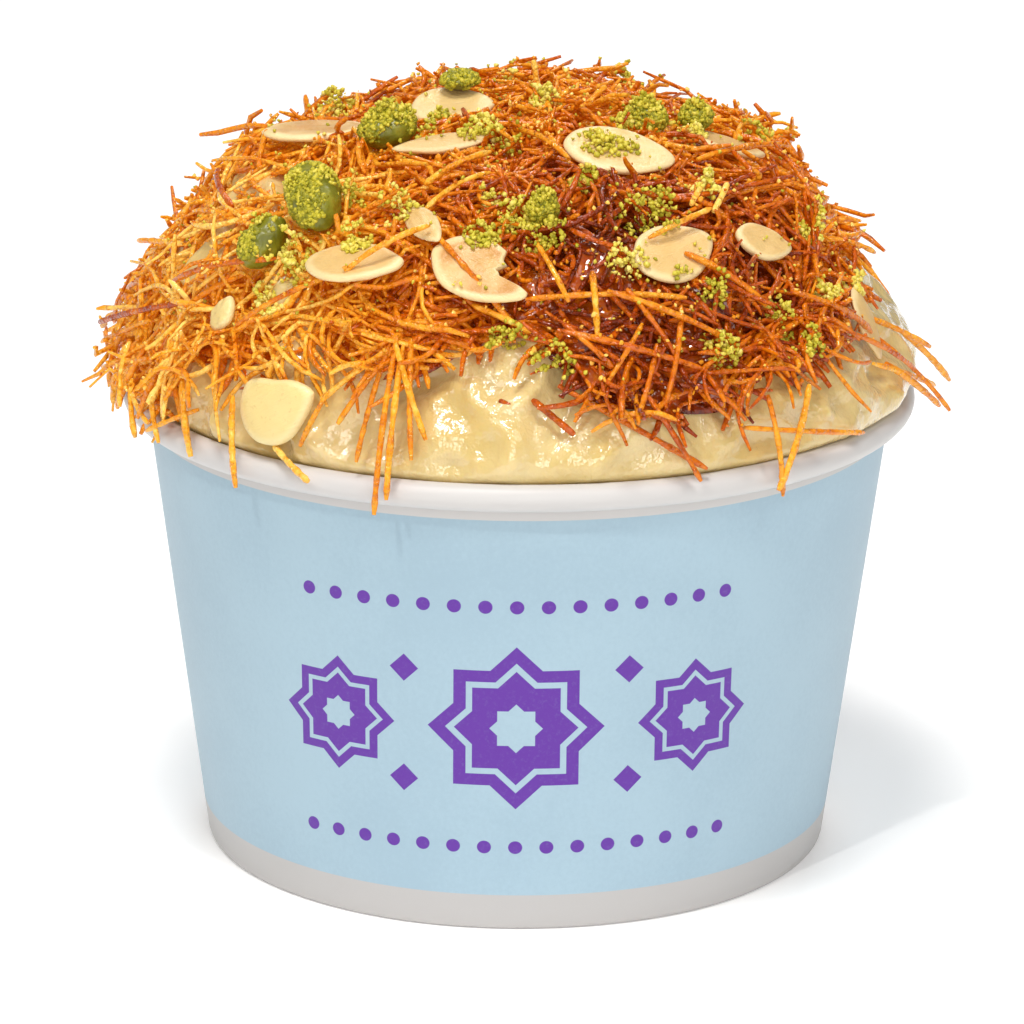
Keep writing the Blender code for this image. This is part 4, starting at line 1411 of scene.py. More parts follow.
class ShredScatter:
    """Geometry Nodes that strew shreds over a surface, bend them to it and give them their skin."""

    points: int = 9
    sides: int = 5
    swirl: float = 0.0065
    swirl_scale: float = 80.0
    wave: float = 0.0024
    wave_scale: float = 130.0
    nut_gap: float = 0.0027
    nut_reach: float = 0.02
    lowest: tuple[float, float, float] = (-0.0632, -0.0602, 0.0)
    highest: tuple[float, float, float] = (0.0632, 0.0602, 1.0)

    def __init__(self) -> None:
        """Build the tree once for every layer."""
        graph = GeometryGraph("shred_scatter")
        self.graph = graph
        nuts = graph.geometry_of(graph.socket("Nuts", "Object"))
        density, shortest, longest = graph.floats("Density", "Shortest", "Longest")
        radius, lowest, highest = graph.floats("Radius", "Lowest", "Highest")
        stiffness, comb, bend = graph.floats("Stiffness", "Comb", "Bend")
        steep, rise, tone = graph.floats("Steep", "Rise", "Tone")
        seed, material = graph.socket("Seed", "Int"), graph.socket("Material", "Material")
        strewn = graph.node(
            "GeometryNodeDistributePointsOnFaces",
            {0: graph.surface, 4: graph.times(density, graph.stored("weight")), 6: seed},
        )
        points, normal = strewn.outputs[0], strewn.outputs[1]
        upright = graph.vector("DOT_PRODUCT", normal, (0.0, 0.0, 1.0))
        downhill = graph.vector("SUBTRACT", graph.scaled(normal, upright), (0.0, 0.0, 1.0))
        ways = {0: strewn.outputs[2], 1: 1.0, 2: downhill}
        combed = graph.out("FunctionNodeAlignRotationToVector", ways, axis="X", pivot_axis="Z")
        free = graph.times(graph.minus(1.0, comb), math.pi)
        spin = graph.times(graph.random(-1.0, 1.0, 11), free)
        tilt = graph.minus(graph.times(graph.random(-1.0, 1.0, 12), steep), rise)
        turned = self.turn(graph, self.turn(graph, combed, spin, 2), tilt, 1)
        sideways = graph.out("FunctionNodeRotateVector", {0: (0.0, 1.0, 0.0), 1: turned})
        sway = graph.scaled(sideways, graph.times(graph.random(-1.0, 1.0, 13), bend))
        points = graph.store(points, "sway", sway, "FLOAT_VECTOR")
        points = graph.store(points, "lift", graph.random(lowest, highest, 14))
        # The layer's tone, painted shade of its depth in the heap, with a random spread for each shred.
        tone = graph.plus(tone, graph.random(-0.14, 0.14, 15))
        points = graph.store(points, "tone", graph.plus(graph.stored("tone"), tone))
        points = graph.store(points, "girth", graph.random(0.72, 1.22, 16))
        stick = graph.node("GeometryNodeCurvePrimitiveLine", {0: (-0.5, 0.0, 0.0), 1: (0.5, 0.0, 0.0)})
        stick = graph.out("GeometryNodeResampleCurve", {0: stick.outputs[0], 2: self.points})
        length = graph.random(shortest, longest, 17)
        scale = graph.out("ShaderNodeCombineXYZ", {0: length, 1: 1.0, 2: 1.0})
        sticks = graph.out("GeometryNodeInstanceOnPoints", {0: points, 2: stick, 5: turned, 6: scale})
        curves = graph.out("GeometryNodeRealizeInstances", {0: sticks})
        laid = self.lay(graph, curves, nuts, stiffness)
        graph.close(skin(graph, laid, radius, self.sides), material)

    def turn(self, graph: GeometryGraph, rotation: Socket, angle: Socket, axis: int) -> Socket:
        """Turn a rotation about one of its own axes.

        Args:
            graph: The tree.
            rotation: The rotation.
            angle: By how much.
            axis: Number of the axis.

        Returns:
            The turned rotation.
        """
        euler = graph.out("ShaderNodeCombineXYZ", {axis: angle})
        by = graph.out("FunctionNodeEulerToRotation", {0: euler})
        return graph.out("FunctionNodeRotateRotation", {0: rotation, 1: by}, rotation_space="LOCAL")

    def lay(self, graph: GeometryGraph, curves: Socket, nuts: Socket, stiffness: Socket) -> Socket:
        """Bend straight shreds over the surface and keep them under the nuts.

        Args:
            graph: The tree.
            curves: The straight shreds.
            nuts: What they stay under.
            stiffness: How much of their straightness they keep.

        Returns:
            The laid shreds.
        """
        start = graph.out("GeometryNodeInputPosition")
        along = graph.out("GeometryNodeSplineParameter")
        half = graph.minus(along, 0.5)
        bow = graph.times(graph.times(half, half), 4.0)
        swayed = graph.vector("ADD", start, graph.scaled(graph.stored("sway", "FLOAT_VECTOR"), bow))
        inputs = {"Vector": start, "Scale": self.swirl_scale, "Detail": 0.0}
        swirl = graph.out("ShaderNodeTexNoise", inputs, 1)
        swirl = graph.scaled(graph.vector("SUBTRACT", swirl, (0.5, 0.5, 0.5)), self.swirl)
        swayed = graph.vector("ADD", swayed, swirl)
        near = graph.out("GeometryNodeProximity", {0: graph.surface, 2: swayed}, target_element="FACES")
        inputs = {0: graph.surface, 1: graph.stored("out", "FLOAT_VECTOR"), 3: near}
        out = graph.out("GeometryNodeSampleNearestSurface", inputs, data_type="FLOAT_VECTOR")
        out = graph.vector("NORMALIZE", out)
        rise = graph.vector("DOT_PRODUCT", graph.vector("SUBTRACT", swayed, near), out)
        wave = graph.times(graph.minus(graph.noise(start, self.wave_scale, 1.0), 0.5), self.wave)
        wanted = graph.plus(graph.stored("lift"), graph.math("MULTIPLY_ADD", rise, stiffness, wave))
        below = graph.vector("SUBTRACT", near, graph.scaled(out, 0.002))
        ray = graph.node("GeometryNodeRaycast", {0: nuts, 2: below, 3: out, 4: self.nut_reach}).outputs
        roof = graph.minus(ray[3], self.nut_gap)
        clear = graph.out("GeometryNodeSwitch", {0: ray[0], 1: 1.0, 2: roof}, input_type="FLOAT")
        height = graph.math("MINIMUM", wanted, clear)
        placed = graph.vector("ADD", near, graph.scaled(out, height))
        held = graph.vector("MINIMUM", graph.vector("MAXIMUM", placed, self.lowest), self.highest)
        return graph.out("GeometryNodeSetPosition", {0: curves, 2: held})

    def run(self, layer: ShredLayer, surface: Mesh, nuts: Piece, material: Material) -> Mesh:
        """Make one layer.

        Args:
            layer: The layer.
            surface: The surface that it lies on.
            nuts: What it stays under.
            material: Its material.

        Returns:
            Its mesh.
        """
        host = surface.copy()
        weights = np.zeros(len(host.vertices), dtype=np.float32)
        host.attributes[layer.weight].data.foreach_get("value", weights)
        write_attribute(host, "weight", weights)
        return self.graph.run(
            host,
            {
                "Nuts": nuts, "Density": layer.density, "Shortest": layer.lengths[0],
                "Longest": layer.lengths[1], "Radius": layer.radius, "Lowest": layer.lifts[0],
                "Highest": layer.lifts[1], "Stiffness": layer.stiffness, "Comb": layer.comb,
                "Bend": layer.bend, "Steep": layer.steep, "Rise": layer.rise, "Tone": layer.tone,
                "Seed": layer.seed, "Material": material,
            },
        )


class ShredSleeve:
    """Geometry Nodes that give placed paths the same skin as the strewn shreds."""

    def __init__(self) -> None:
        """Build the tree."""
        graph = GeometryGraph("shred_sleeve")
        self.graph = graph
        radius, material = graph.socket("Radius", "Float"), graph.socket("Material", "Material")
        curves = graph.out("GeometryNodeMeshToCurve", {0: graph.surface})
        graph.close(skin(graph, curves, radius, 6), material)

    def run(self, shreds: Sequence["PlacedShred"], count: int, radius: float, material: Material) -> Mesh:
        """Make the shreds.

        Args:
            shreds: The placed shreds.
            count: Points along each.
            radius: Their radius.
            material: Their material.

        Returns:
            Their mesh.
        """
        points, edges, tones, girths = [], [], [], []
        for number, shred in enumerate(shreds):
            start = len(points)
            points += shred.path(count)
            edges += [(start + i, start + i + 1) for i in range(count - 1)]
            tones += [shred.tone] * count
            girths += [0.9 + 0.25 * ((number * 7) % 5) / 4] * count
        host = bpy.data.meshes.new("paths")
        host.from_pydata(points, edges, [])
        write_attribute(host, "tone", tones)
        write_attribute(host, "girth", girths)
        return self.graph.run(host, {"Radius": radius, "Material": material})


@dataclass(frozen=True)
class PlacedShred:
    """A single shred: where each end is in degrees and how far it stands off in millimetres."""

    start: tuple[float, ...]
    end: tuple[float, ...]
    bow: float
    tone: float

    def path(self, count: int) -> list[Vector]:
        """Points along the shred.

        Args:
            count: How many.

        Returns:
            The points.
        """
        ends = []
        for azimuth, polar, lift in (self.start, self.end):
            at = (math.radians(azimuth), math.radians(polar))
            under = MOUND.top(*at) if polar < MOUND.rim_polar else MOUND.rim_reach
            ends.append(MOUND.point(*at, under + lift / 1000))
        out = ((ends[0] + ends[1]) / 2 - Vector((0.0, 0.0, MOUND.height))).normalized()
        steps = [i / (count - 1) for i in range(count)]
        return [ends[0].lerp(ends[1], s) + out * (self.bow * 4 * s * (1 - s) / 1000) for s in steps]


@dataclass
class ShredHeap:
    """Heap of fried pastry shreds: a matted core, layers strewn over it, and a fringe that hangs out."""

    sink: float = 0.0027
    core_columns: int = 240
    core_rows: int = 84
    core_knob: float = 0.0011
    core_share: float = 0.985
    calm_span: tuple[float, float] = (0.9, 1.0)
    thin_span: tuple[float, float] = (0.88, 1.0)
    cover_span: tuple[float, float] = (0.93, 0.98)
    band_in: tuple[float, float] = (0.84, 0.92)
    band_out: tuple[float, float] = (0.98, 1.02)
    under_rows: int = 20
    apron_rows: int = 16
    apron_end: float = math.radians(86)
    ground_columns: int = 180
    guard_gap: float = 0.0006
    beyond: tuple[tuple[float, float], ...] = (
        (0.0547, 0.0688), (0.0556, 0.0692), (0.0569, 0.0688), (0.0578, 0.0674), (0.0586, 0.0645),
        (0.0592, 0.0600),
    )
    base_tone: float = 0.43
    # Azimuth, polar angle, width and how much darker.
    tints: tuple[tuple[float, float, float, float], ...] = (
        (290, 60, 0.017, 0.38), (322, 60, 0.020, 0.16), (270, 38, 0.016, 0.10), (203, 62, 0.026, -0.24),
        (235, 74, 0.014, -0.10), (240, 25, 0.016, 0.02), (120, 50, 0.03, 0.10), (60, 60, 0.02, -0.06),
    )
    # Azimuth, polar angle and width.
    thin_spots: tuple[tuple[float, float, float], ...] = (
        (196, 58, 0.011), (203, 68, 0.009), (189, 70, 0.008), (231, 74, 0.007),
    )
    # The tones make the lower layers darker and the upper ones paler, painted shade of the heap's depth.
    layers: tuple[ShredLayer, ...] = (
        ShredLayer(
            "under", 150000, (0.007, 0.016), 0.00042, (0.0002, 0.0020), 0.15, 3,
            tone=0.12, bend=0.0030,
        ),
        ShredLayer(
            "middle", 150000, (0.007, 0.018), 0.00039, (0.0012, 0.0036), 0.45, 5,
            tone=0.04, bend=0.0036, steep=0.3,
        ),
        ShredLayer(
            "top", 70000, (0.009, 0.024), 0.00037, (0.0026, 0.0048), 0.8, 7,
            tone=-0.04, bend=0.0042, steep=0.3, comb=0.2,
        ),
        ShredLayer(
            "ends", 120000, (0.003, 0.008), 0.00036, (0.0022, 0.0048), 0.9, 11,
            tone=-0.10, steep=1.1,
        ),
        ShredLayer(
            "fringe", 240000, (0.006, 0.015), 0.00037, (0.0010, 0.0036), 0.85, 13,
            tone=-0.08, comb=0.55, bend=0.0030, steep=0.5, rise=0.15, weight="border",
        ),
    )
    # Start, then end, as azimuth, polar angle and millimetres of lift; then the bow and the tone.
    placed: tuple[tuple[float, ...], ...] = (
        (251, 69, 2.5, 244, 81, 3.0, 0.8, 0.30), (251, 68, 3.2, 251, 92, 2.6, 1.2, 0.34),
        (252, 69, 2.6, 252.5, 90, 2.0, 1.0, 0.26), (253, 68, 2.4, 255, 85, 1.6, 0.8, 0.36),
        (251, 69, 3.4, 257, 82, 2.2, 0.6, 0.22), (250, 69, 3.0, 247, 86, 1.8, 0.9, 0.30),
        (250, 70, 3.6, 241, 78, 3.4, 0.8, 0.20), (206, 71, 2.6, 185, 80, 5.6, 0.8, 0.66),
        (203, 80, 2.0, 186, 86, 5.4, 0.4, 0.24), (194, 64, 1.6, 183, 68, 5.2, 0.5, 0.22),
        (196, 76, 1.6, 184, 83, 4.2, 0.5, 0.30), (199, 84, 1.6, 204, 91, 1.6, 0.4, 0.22),
        (192, 81, 2.0, 190, 90, 1.4, 0.5, 0.24), (194, 80, 2.4, 199, 88, 2.2, 0.6, 0.14),
        (201, 79, 2.2, 196, 89, 1.8, 0.5, 0.30), (205, 81, 1.8, 211, 90, 1.2, 0.5, 0.20),
        (209, 78, 2.2, 205, 88, 1.6, 0.6, 0.34), (214, 80, 1.8, 219, 90, 1.0, 0.4, 0.22),
        (197, 85, 1.2, 208, 88, 1.4, 0.5, 0.16), (204, 87, 1.0, 192, 87, 1.6, 0.6, 0.28),
        (217, 84, 1.4, 208, 89, 1.6, 0.5, 0.26), (188, 80, 2.4, 184, 89, 1.6, 0.6, 0.20),
        (233, 86, 1.0, 241, 89, 1.6, 0.3, 0.10), (242, 77, 2.6, 238, 85, 1.8, 0.4, 0.28),
        (226, 80, 2.0, 229, 92, 1.8, 0.5, 0.24), (339, 76, 1.8, 347, 89, 5.4, 0.8, 0.42),
        (338, 72, 2.2, 350, 81, 4.4, 0.6, 0.30), (338, 80, 1.4, 349, 89, 3.6, 0.5, 0.36),
        (334, 79, 1.6, 352, 87, 3.4, 0.6, 0.20), (350, 78, 1.6, 358, 88, 4.6, 0.5, 0.30),
        (294, 53, 3.4, 309, 50, 3.8, 0.7, 0.26), (253, 51, 2.6, 269, 65, 2.2, 2.0, 0.40),
        (326, 38, 2.4, 354, 46, 4.6, 1.4, 0.34), (269, 17, 2.0, 285, 33, 3.4, 1.0, 0.30),
        (247, 42, 3.0, 260, 31, 4.0, 0.9, 0.22), (250, 47, 3.0, 262, 38, 3.6, 1.4, 0.22),
        (241, 60, 4.4, 253, 51, 4.8, 1.6, 0.26), (272, 76, 1.0, 278, 81, 1.2, 0.2, 0.60),
        (267, 76.2, 0.5, 269, 77, 0.6, 0.1, 0.70), (276, 74, 1.6, 297, 87, 1.6, 1.8, 0.50),
        (288, 75, 2.4, 295, 88, 1.4, 0.8, 0.56), (307, 78, 2.4, 308, 92, 1.6, 0.8, 0.34),
        (315, 78, 2.2, 307, 91, 1.8, 0.8, 0.26), (303, 82, 2.4, 326, 87, 2.0, 1.6, 0.30),
        (282, 58, 3.2, 282, 68, 2.6, 0.5, 0.30), (287, 61, 3.4, 294, 72, 3.4, 0.8, 0.52),
        (277, 65, 3.0, 284, 72, 3.0, 0.8, 0.48), (297, 73, 3.2, 276, 66, 3.4, 2.2, 0.50),
        (291, 69, 3.0, 287, 78, 2.4, 0.6, 0.46), (318, 65, 3.0, 337, 75, 2.6, 1.8, 0.44),
        (319, 69, 3.2, 344, 83, 3.0, 2.2, 0.50), (307, 48, 2.4, 317, 43, 4.2, 0.3, 0.04),
        (311, 50, 2.4, 319, 46, 4.2, 0.3, 0.02), (271, 61, 2.8, 297, 63, 3.4, 2.6, 0.36),
        (284, 61, 3.0, 303, 70, 3.2, 1.8, 0.42), (289, 66, 3.2, 281, 76, 2.4, 1.0, 0.36),
        (296, 64, 3.0, 291, 77, 2.6, 1.2, 0.46), (300, 56, 3.0, 311, 66, 3.2, 1.4, 0.40),
        (273, 52, 3.0, 278, 62, 3.2, 0.8, 0.30), (262, 62, 2.6, 272, 66, 2.6, 0.5, 0.24),
        (342, 60, 2.0, 350, 66, 5.0, 0.6, 0.30), (195, 48, 2.0, 188, 43, 5.6, 0.3, 0.30),
        (182, 53, 2.6, 204, 55, 3.0, 1.4, 0.64), (214, 58, 3.0, 228, 50, 3.4, 1.2, 0.30),
        (202, 69, 3.0, 226, 60, 3.6, 2.2, 0.54), (222, 71, 3.0, 237, 61, 3.2, 1.4, 0.40),
        (46, 5, 1.0, 60, 4, 7.0, 0.3, 0.16), (336, 12, 1.0, 0, 15, 4.6, 0.4, 0.24),
        (100, 70, 2.0, 92, 91, 2.0, 0.8, 0.30), (120, 74, 2.4, 128, 92, 2.2, 0.8, 0.34),
        (66, 74, 2.0, 58, 92, 2.2, 0.8, 0.26), (150, 78, 2.0, 160, 90, 4.0, 0.6, 0.30),
        (30, 66, 2.0, 22, 84, 3.6, 1.0, 0.30),
    )
    placed_points: int = 16
    placed_radius: float = 0.00042

    def warmth(self, place: Vector) -> float:
        """How dark the shreds are, from straw gold at 0 to burnt caramel at 1.

        Args:
            place: A place on the heap.

        Returns:
            Their tone there.
        """
        tone = self.base_tone
        for azimuth, polar, wide, strength in self.tints:
            tone += strength * MOUND.nearness(place, azimuth, polar, wide)
        return tone

    def place(self, azimuth: float, row: int) -> Vector:
        """Point of the surface that the shreds lie on: the sunken heap, the cream, then the rim.

        Args:
            azimuth: Azimuth in radians.
            row: Row, counted from the crown.

        Returns:
            The point.
        """
        on_food = self.core_rows + self.apron_rows
        if row > on_food:
            radius, height = self.beyond[row - on_food - 1]
            return Vector((radius * math.cos(azimuth), radius * math.sin(azimuth), height))
        edge = MOUND.edge(azimuth)
        if row <= self.core_rows:
            polar = edge * row / self.core_rows
        else:
            polar = edge + (self.apron_end - edge) * (row - self.core_rows) / self.apron_rows
        cream = MOUND.cream(azimuth, polar) + 0.0003
        heap = MOUND.heap(azimuth, polar) - self.sink
        return MOUND.point(azimuth, polar, max(heap, cream) if polar <= edge else cream)

    def surface(self) -> Mesh:
        """The surface that shreds are strewn on, with where and how they lie stored on it."""
        rows = self.core_rows + self.apron_rows + len(self.beyond)
        mesh = grid_mesh("shred_ground", self.place, evenly(self.ground_columns), rows, False)
        cover, border, tone, out = [], [], [], []
        for vertex in mesh.vertices:
            arm = vertex.co - Vector((0.0, 0.0, MOUND.height))
            azimuth, polar = math.atan2(arm.y, arm.x), arm.angle(Vector((0, 0, 1)), 0.0)
            share = polar / MOUND.edge(azimuth)
            thin = 1.0
            for spot in self.thin_spots:
                thin = min(thin, 1.0 - 0.8 * MOUND.nearness(vertex.co, *spot))
            cover.append((1.0 - smooth_step(*self.cover_span, share)) * thin)
            band = smooth_step(*self.band_in, share) * (1.0 - smooth_step(*self.band_out, share))
            border.append(band * (0.6 + 0.9 * max(noise.noise(arm * 90), -0.4)))
            tone.append(self.warmth(vertex.co))
            out.append(tuple(vertex.normal))
        write_attribute(mesh, "cover", cover)
        write_attribute(mesh, "border", border)
        write_attribute(mesh, "tone", tone)
        write_attribute(mesh, "out", out, "FLOAT_VECTOR")
        return mesh

    def core_point(self, azimuth: float, row: int) -> Vector:
        """Point of the matted core: its face down to the edge, then its underside back to the crown.

        Args:
            azimuth: Azimuth in radians.
            row: Row, counted from the crown.

        Returns:
            The point.
        """
        edge = MOUND.edge(azimuth)
        back = row - self.core_rows
        share = min(row / self.core_rows, 1.0) if back <= 0 else 1.0 - back / self.under_rows
        polar = edge * share * self.core_share
        cream = MOUND.cream(azimuth, polar)
        if back > 0:
            return MOUND.point(azimuth, polar, cream + 0.0001)
        out = MOUND.direction(azimuth, polar)
        place = out * MOUND.heap_reach
        matted = 1.0 - abs(noise.noise(place * 260 + 0.8 * noise.noise_vector(place * 120))) * 2.2
        calm = 1.0 - smooth_step(*self.calm_span, share)
        level = MOUND.heap(azimuth, polar) - self.sink + self.core_knob * matted * calm
        level = cream + (level - cream) * (1.0 - smooth_step(*self.thin_span, share))
        return MOUND.point(azimuth, polar, max(level, cream + 0.0008 * calm + 0.0002))

    def build(self, finish: PastryFinish, nuts: Sequence[Piece]) -> tuple[list[Piece], Material]:
        """Make the core and its layers.

        Args:
            finish: Finish of the pastry.
            nuts: Nuts that the shreds stay under.

        Returns:
            The pieces, and the material of the shreds.
        """
        # The core's pastry is darker: partly syrup soaked into it, partly painted shade for lying under the
        # layers of shreds.
        soaked = finish.make("soaked_pastry", 0.26, 0.8)
        rows = self.core_rows + self.under_rows
        core = grid_mesh("core", self.core_point, evenly(self.core_columns), rows, True)
        write_attribute(core, "tone", [self.warmth(vertex.co) for vertex in core.vertices])
        made = [add_piece("shred_core", core, (soaked,), ("kataifi_heap",))]
        ground = self.surface()
        guard = self.guard(nuts)
        scatter = ShredScatter()
        fried = finish.make("fried_pastry", 0.0, 0.8)
        for layer in self.layers:
            mesh = scatter.run(layer, ground, guard, fried)
            made.append(add_piece(f"shreds_{layer.name}", mesh))
        bpy.data.objects.remove(guard)
        sleeve = ShredSleeve()
        placed = [PlacedShred(row[:3], row[3:6], *row[6:]) for row in self.placed]
        mesh = sleeve.run(placed, self.placed_points, self.placed_radius, fried)
        made.append(add_piece("shreds_placed", mesh))
        return made, fried

    def guard(self, nuts: Sequence[Piece]) -> Piece:
        """Every nut in one mesh, swollen a little, which the shreds stay under.

        Args:
            nuts: The nuts.

        Returns:
            A helper object, removed once the shreds are made.
        """
        shape = bmesh.new()
        for nut in nuts:
            shape.from_mesh(nut.data)
        shape.normal_update()
        pushed = [(vertex, vertex.co + vertex.normal * self.guard_gap) for vertex in shape.verts]
        for vertex, place in pushed:
            vertex.co = place
        mesh = bpy.data.meshes.new("guard")
        shape.to_mesh(mesh)
        shape.free()
        return link_object("guard", mesh)


@dataclass(frozen=True)
class SyrupFinish:
    """Thick amber syrup, clear where it is thin."""

    stops: Ramp = ((0.3, srgb(206, 104, 14)), (0.5, srgb(168, 70, 8)), (0.7, srgb(112, 36, 4)))

    def make(self) -> Material:
        """The material."""
        graph = ShaderGraph("syrup")
        patch = graph.noise(graph.place, 260, 2)
        ripple = graph.noise(graph.place, 700, 2)
        tone = graph.ramp(patch, self.stops)
        graph.bumps((ripple, 0.35, 0.0004))
        return graph.finish(
            colour=tone, roughness=0.07, specular=0.55, coat=1.0, coat_roughness=0.03,
            subsurface=0.4, subsurface_radius=(1.0, 0.45, 0.08), subsurface_scale=0.002,
        )


class SyrupWeb:
    """Geometry Nodes that fill the narrow gaps between soaked shreds, as syrup does."""

    def __init__(self) -> None:
        """Build the tree."""
        graph = GeometryGraph("syrup_web")
        self.graph = graph
        swell, voxel, shrink = graph.floats("Swell", "Voxel", "Shrink")
        material = graph.socket("Material", "Material")
        dry = graph.math("LESS_THAN", graph.stored("soaked"), 0.5)
        wet = graph.out("GeometryNodeDeleteGeometry", {0: graph.surface, 1: dry}, domain="POINT")
        normal = graph.out("GeometryNodeInputNormal")
        thick = graph.out("GeometryNodeSetPosition", {0: wet, 3: graph.scaled(normal, swell)})
        by_size = {"resolution_mode": "VOXEL_SIZE"}
        volume = graph.out("GeometryNodeMeshToVolume", {0: thick, 1: 1.0, 2: voxel, 4: 0.0008}, **by_size)
        web = graph.out("GeometryNodeVolumeToMesh", {0: volume, 1: voxel, 3: 0.1, 4: 0.0}, **by_size)
        place = graph.out("GeometryNodeInputPosition")
        blurred = graph.out("GeometryNodeBlurAttribute", {0: place, 1: 3}, data_type="FLOAT_VECTOR")
        web = graph.out("GeometryNodeSetPosition", {0: web, 2: blurred})
        inward = graph.scaled(normal, graph.times(shrink, -1.0))
        web = graph.out("GeometryNodeSetPosition", {0: web, 3: inward})
        graph.close(web, material)


@dataclass
class SyrupGlaze:
    """Syrup that has run together between the shreds right of the middle."""

    # Azimuth, polar angle and reach.
    pools: tuple[tuple[float, float, float], ...] = (
        (289, 62, 0.0125), (283, 68, 0.008), (299, 68, 0.009), (270, 58, 0.005), (289, 75, 0.006),
        (296, 76, 0.0065), (303, 72, 0.006), (310, 62, 0.006),
    )
    swell: float = 0.00060
    shrink: float = 0.00052
    voxel: float = 0.00032
    margin: float = 1.4
    ragged: float = 0.35
    ragged_scale: float = 260.0

    def build(self, finish: SyrupFinish, layers: Sequence[Piece]) -> Piece:
        """Make the glaze.

        Args:
            finish: Finish of the syrup.
            layers: The layers of shreds that it fills.

        Returns:
            The glaze.
        """
        shape = bmesh.new()
        for layer in layers:
            shape.from_mesh(layer.data)
        pools = [(MOUND.on_heap(azimuth, polar), reach) for azimuth, polar, reach in self.pools]
        far = [v for v in shape.verts if all((v.co - at).length > reach * self.margin for at, reach in pools)]
        bmesh.ops.delete(shape, geom=far, context="VERTS")
        mesh = bpy.data.meshes.new("soaked")
        shape.to_mesh(mesh)
        shape.free()
        soaked = []
        for vertex in mesh.vertices:
            ragged = 1.0 + self.ragged * noise.noise(vertex.co * self.ragged_scale)
            wet = any((vertex.co - at).length < reach * ragged for at, reach in pools)
            soaked.append(float(wet))
        write_attribute(mesh, "soaked", soaked)
        values = {"Swell": self.swell, "Shrink": self.shrink, "Voxel": self.voxel}
        values["Material"] = finish.make()
        return add_piece("syrup_glaze", SyrupWeb().graph.run(mesh, values))


@dataclass(frozen=True)
class CrumbPile:
    """A pile of crumbs: where it is in degrees, how far it spreads and how high it stands."""

    at: tuple[float, float]
    reach: float = 0.0026
    height: float = 0.0012
    amount: int = 70
    tone: float = 0.5


class CrumbScatter:
    """Geometry Nodes that drop piles of crumbs onto whatever lies under them."""

    def __init__(self) -> None:
        """Build the tree."""
        graph = GeometryGraph("crumb_scatter")
        self.graph = graph
        ground = graph.geometry_of(graph.socket("Ground", "Object"))
        smallest, largest = graph.floats("Smallest", "Largest")
        seed, material = graph.socket("Seed", "Int"), graph.socket("Material", "Material")
        piles = graph.out("GeometryNodeMeshToPoints", {0: graph.surface})
        amount = graph.stored("amount")
        points = graph.out("GeometryNodeDuplicateElements", {0: piles, 2: amount}, domain="POINT")
        out = graph.stored("out", "FLOAT_VECTOR")
        cube = graph.random_vector((-1.0, -1.0, -1.0), (1.0, 1.0, 1.0), seed)
        flat = graph.vector("SUBTRACT", cube, graph.scaled(out, graph.vector("DOT_PRODUCT", cube, out)))
        share = graph.math("POWER", graph.random(0.0, 1.0, 21), 0.8)
        aside = graph.scaled(graph.vector("NORMALIZE", flat), share)
        wide = graph.scaled(aside, graph.stored("reach"))
        start = graph.out("GeometryNodeInputPosition")
        above = graph.vector("ADD", graph.vector("ADD", start, wide), graph.scaled(out, 0.012))
        down = graph.scaled(out, -1.0)
        ray = graph.node("GeometryNodeRaycast", {0: ground, 2: above, 3: down, 4: 0.02}).outputs
        heaped = graph.times(graph.minus(1.0, share), graph.random(0.0, 1.0, 22))
        stand = graph.times(heaped, graph.stored("height"))
        spot = graph.vector("ADD", ray[1], graph.scaled(out, graph.plus(stand, 0.00018)))
        points = graph.store(points, "hit", ray[0])
        points = graph.out("GeometryNodeSetPosition", {0: points, 2: spot})
        tone = graph.plus(graph.stored("tone"), graph.random(-0.28, 0.28, 23))
        points = graph.store(points, "tone", tone)
        crumb = graph.out("GeometryNodeMeshIcoSphere", {0: 1.0, 1: 1})
        turn = graph.random_vector((0.0, 0.0, 0.0), (6.28, 6.28, 6.28), 24)
        turn = graph.out("FunctionNodeEulerToRotation", {0: turn})
        stretch = graph.random_vector((0.7, 0.7, 0.7), (1.25, 1.1, 1.1), 25)
        size = graph.scaled(stretch, graph.random(smallest, largest, 26))
        inputs = {0: points, 1: graph.stored("hit"), 2: crumb, 5: turn, 6: size}
        crumbs = graph.out("GeometryNodeInstanceOnPoints", inputs)
        crumbs = graph.out("GeometryNodeRealizeInstances", {0: crumbs})
        graph.close(graph.jogged(crumbs, 2600.0), material)

    def run(
        self,
        piles: Sequence[CrumbPile],
        ground: Piece,
        sizes: tuple[float, float],
        seed: int,
        material: Material,
    ) -> Mesh:
        """Make the crumbs of some piles.

        Args:
            piles: The piles.
            ground: What they drop onto.
            sizes: Smallest and largest radius of a crumb.
            seed: Seed of their places.
            material: Their material.

        Returns:
            The mesh.
        """
        places = [(math.radians(pile.at[0]), math.radians(pile.at[1])) for pile in piles]
        host = bpy.data.meshes.new("piles")
        host.from_pydata([MOUND.point(*at, MOUND.top(*at)) for at in places], [], [])
        write_attribute(host, "out", [tuple(MOUND.facing(*at)) for at in places], "FLOAT_VECTOR")
        for name in ("reach", "height", "amount", "tone"):
            write_attribute(host, name, [getattr(pile, name) for pile in piles])
        values = {"Ground": ground, "Smallest": sizes[0], "Largest": sizes[1], "Seed": seed}
        values["Material"] = material
        return self.graph.run(host, values)


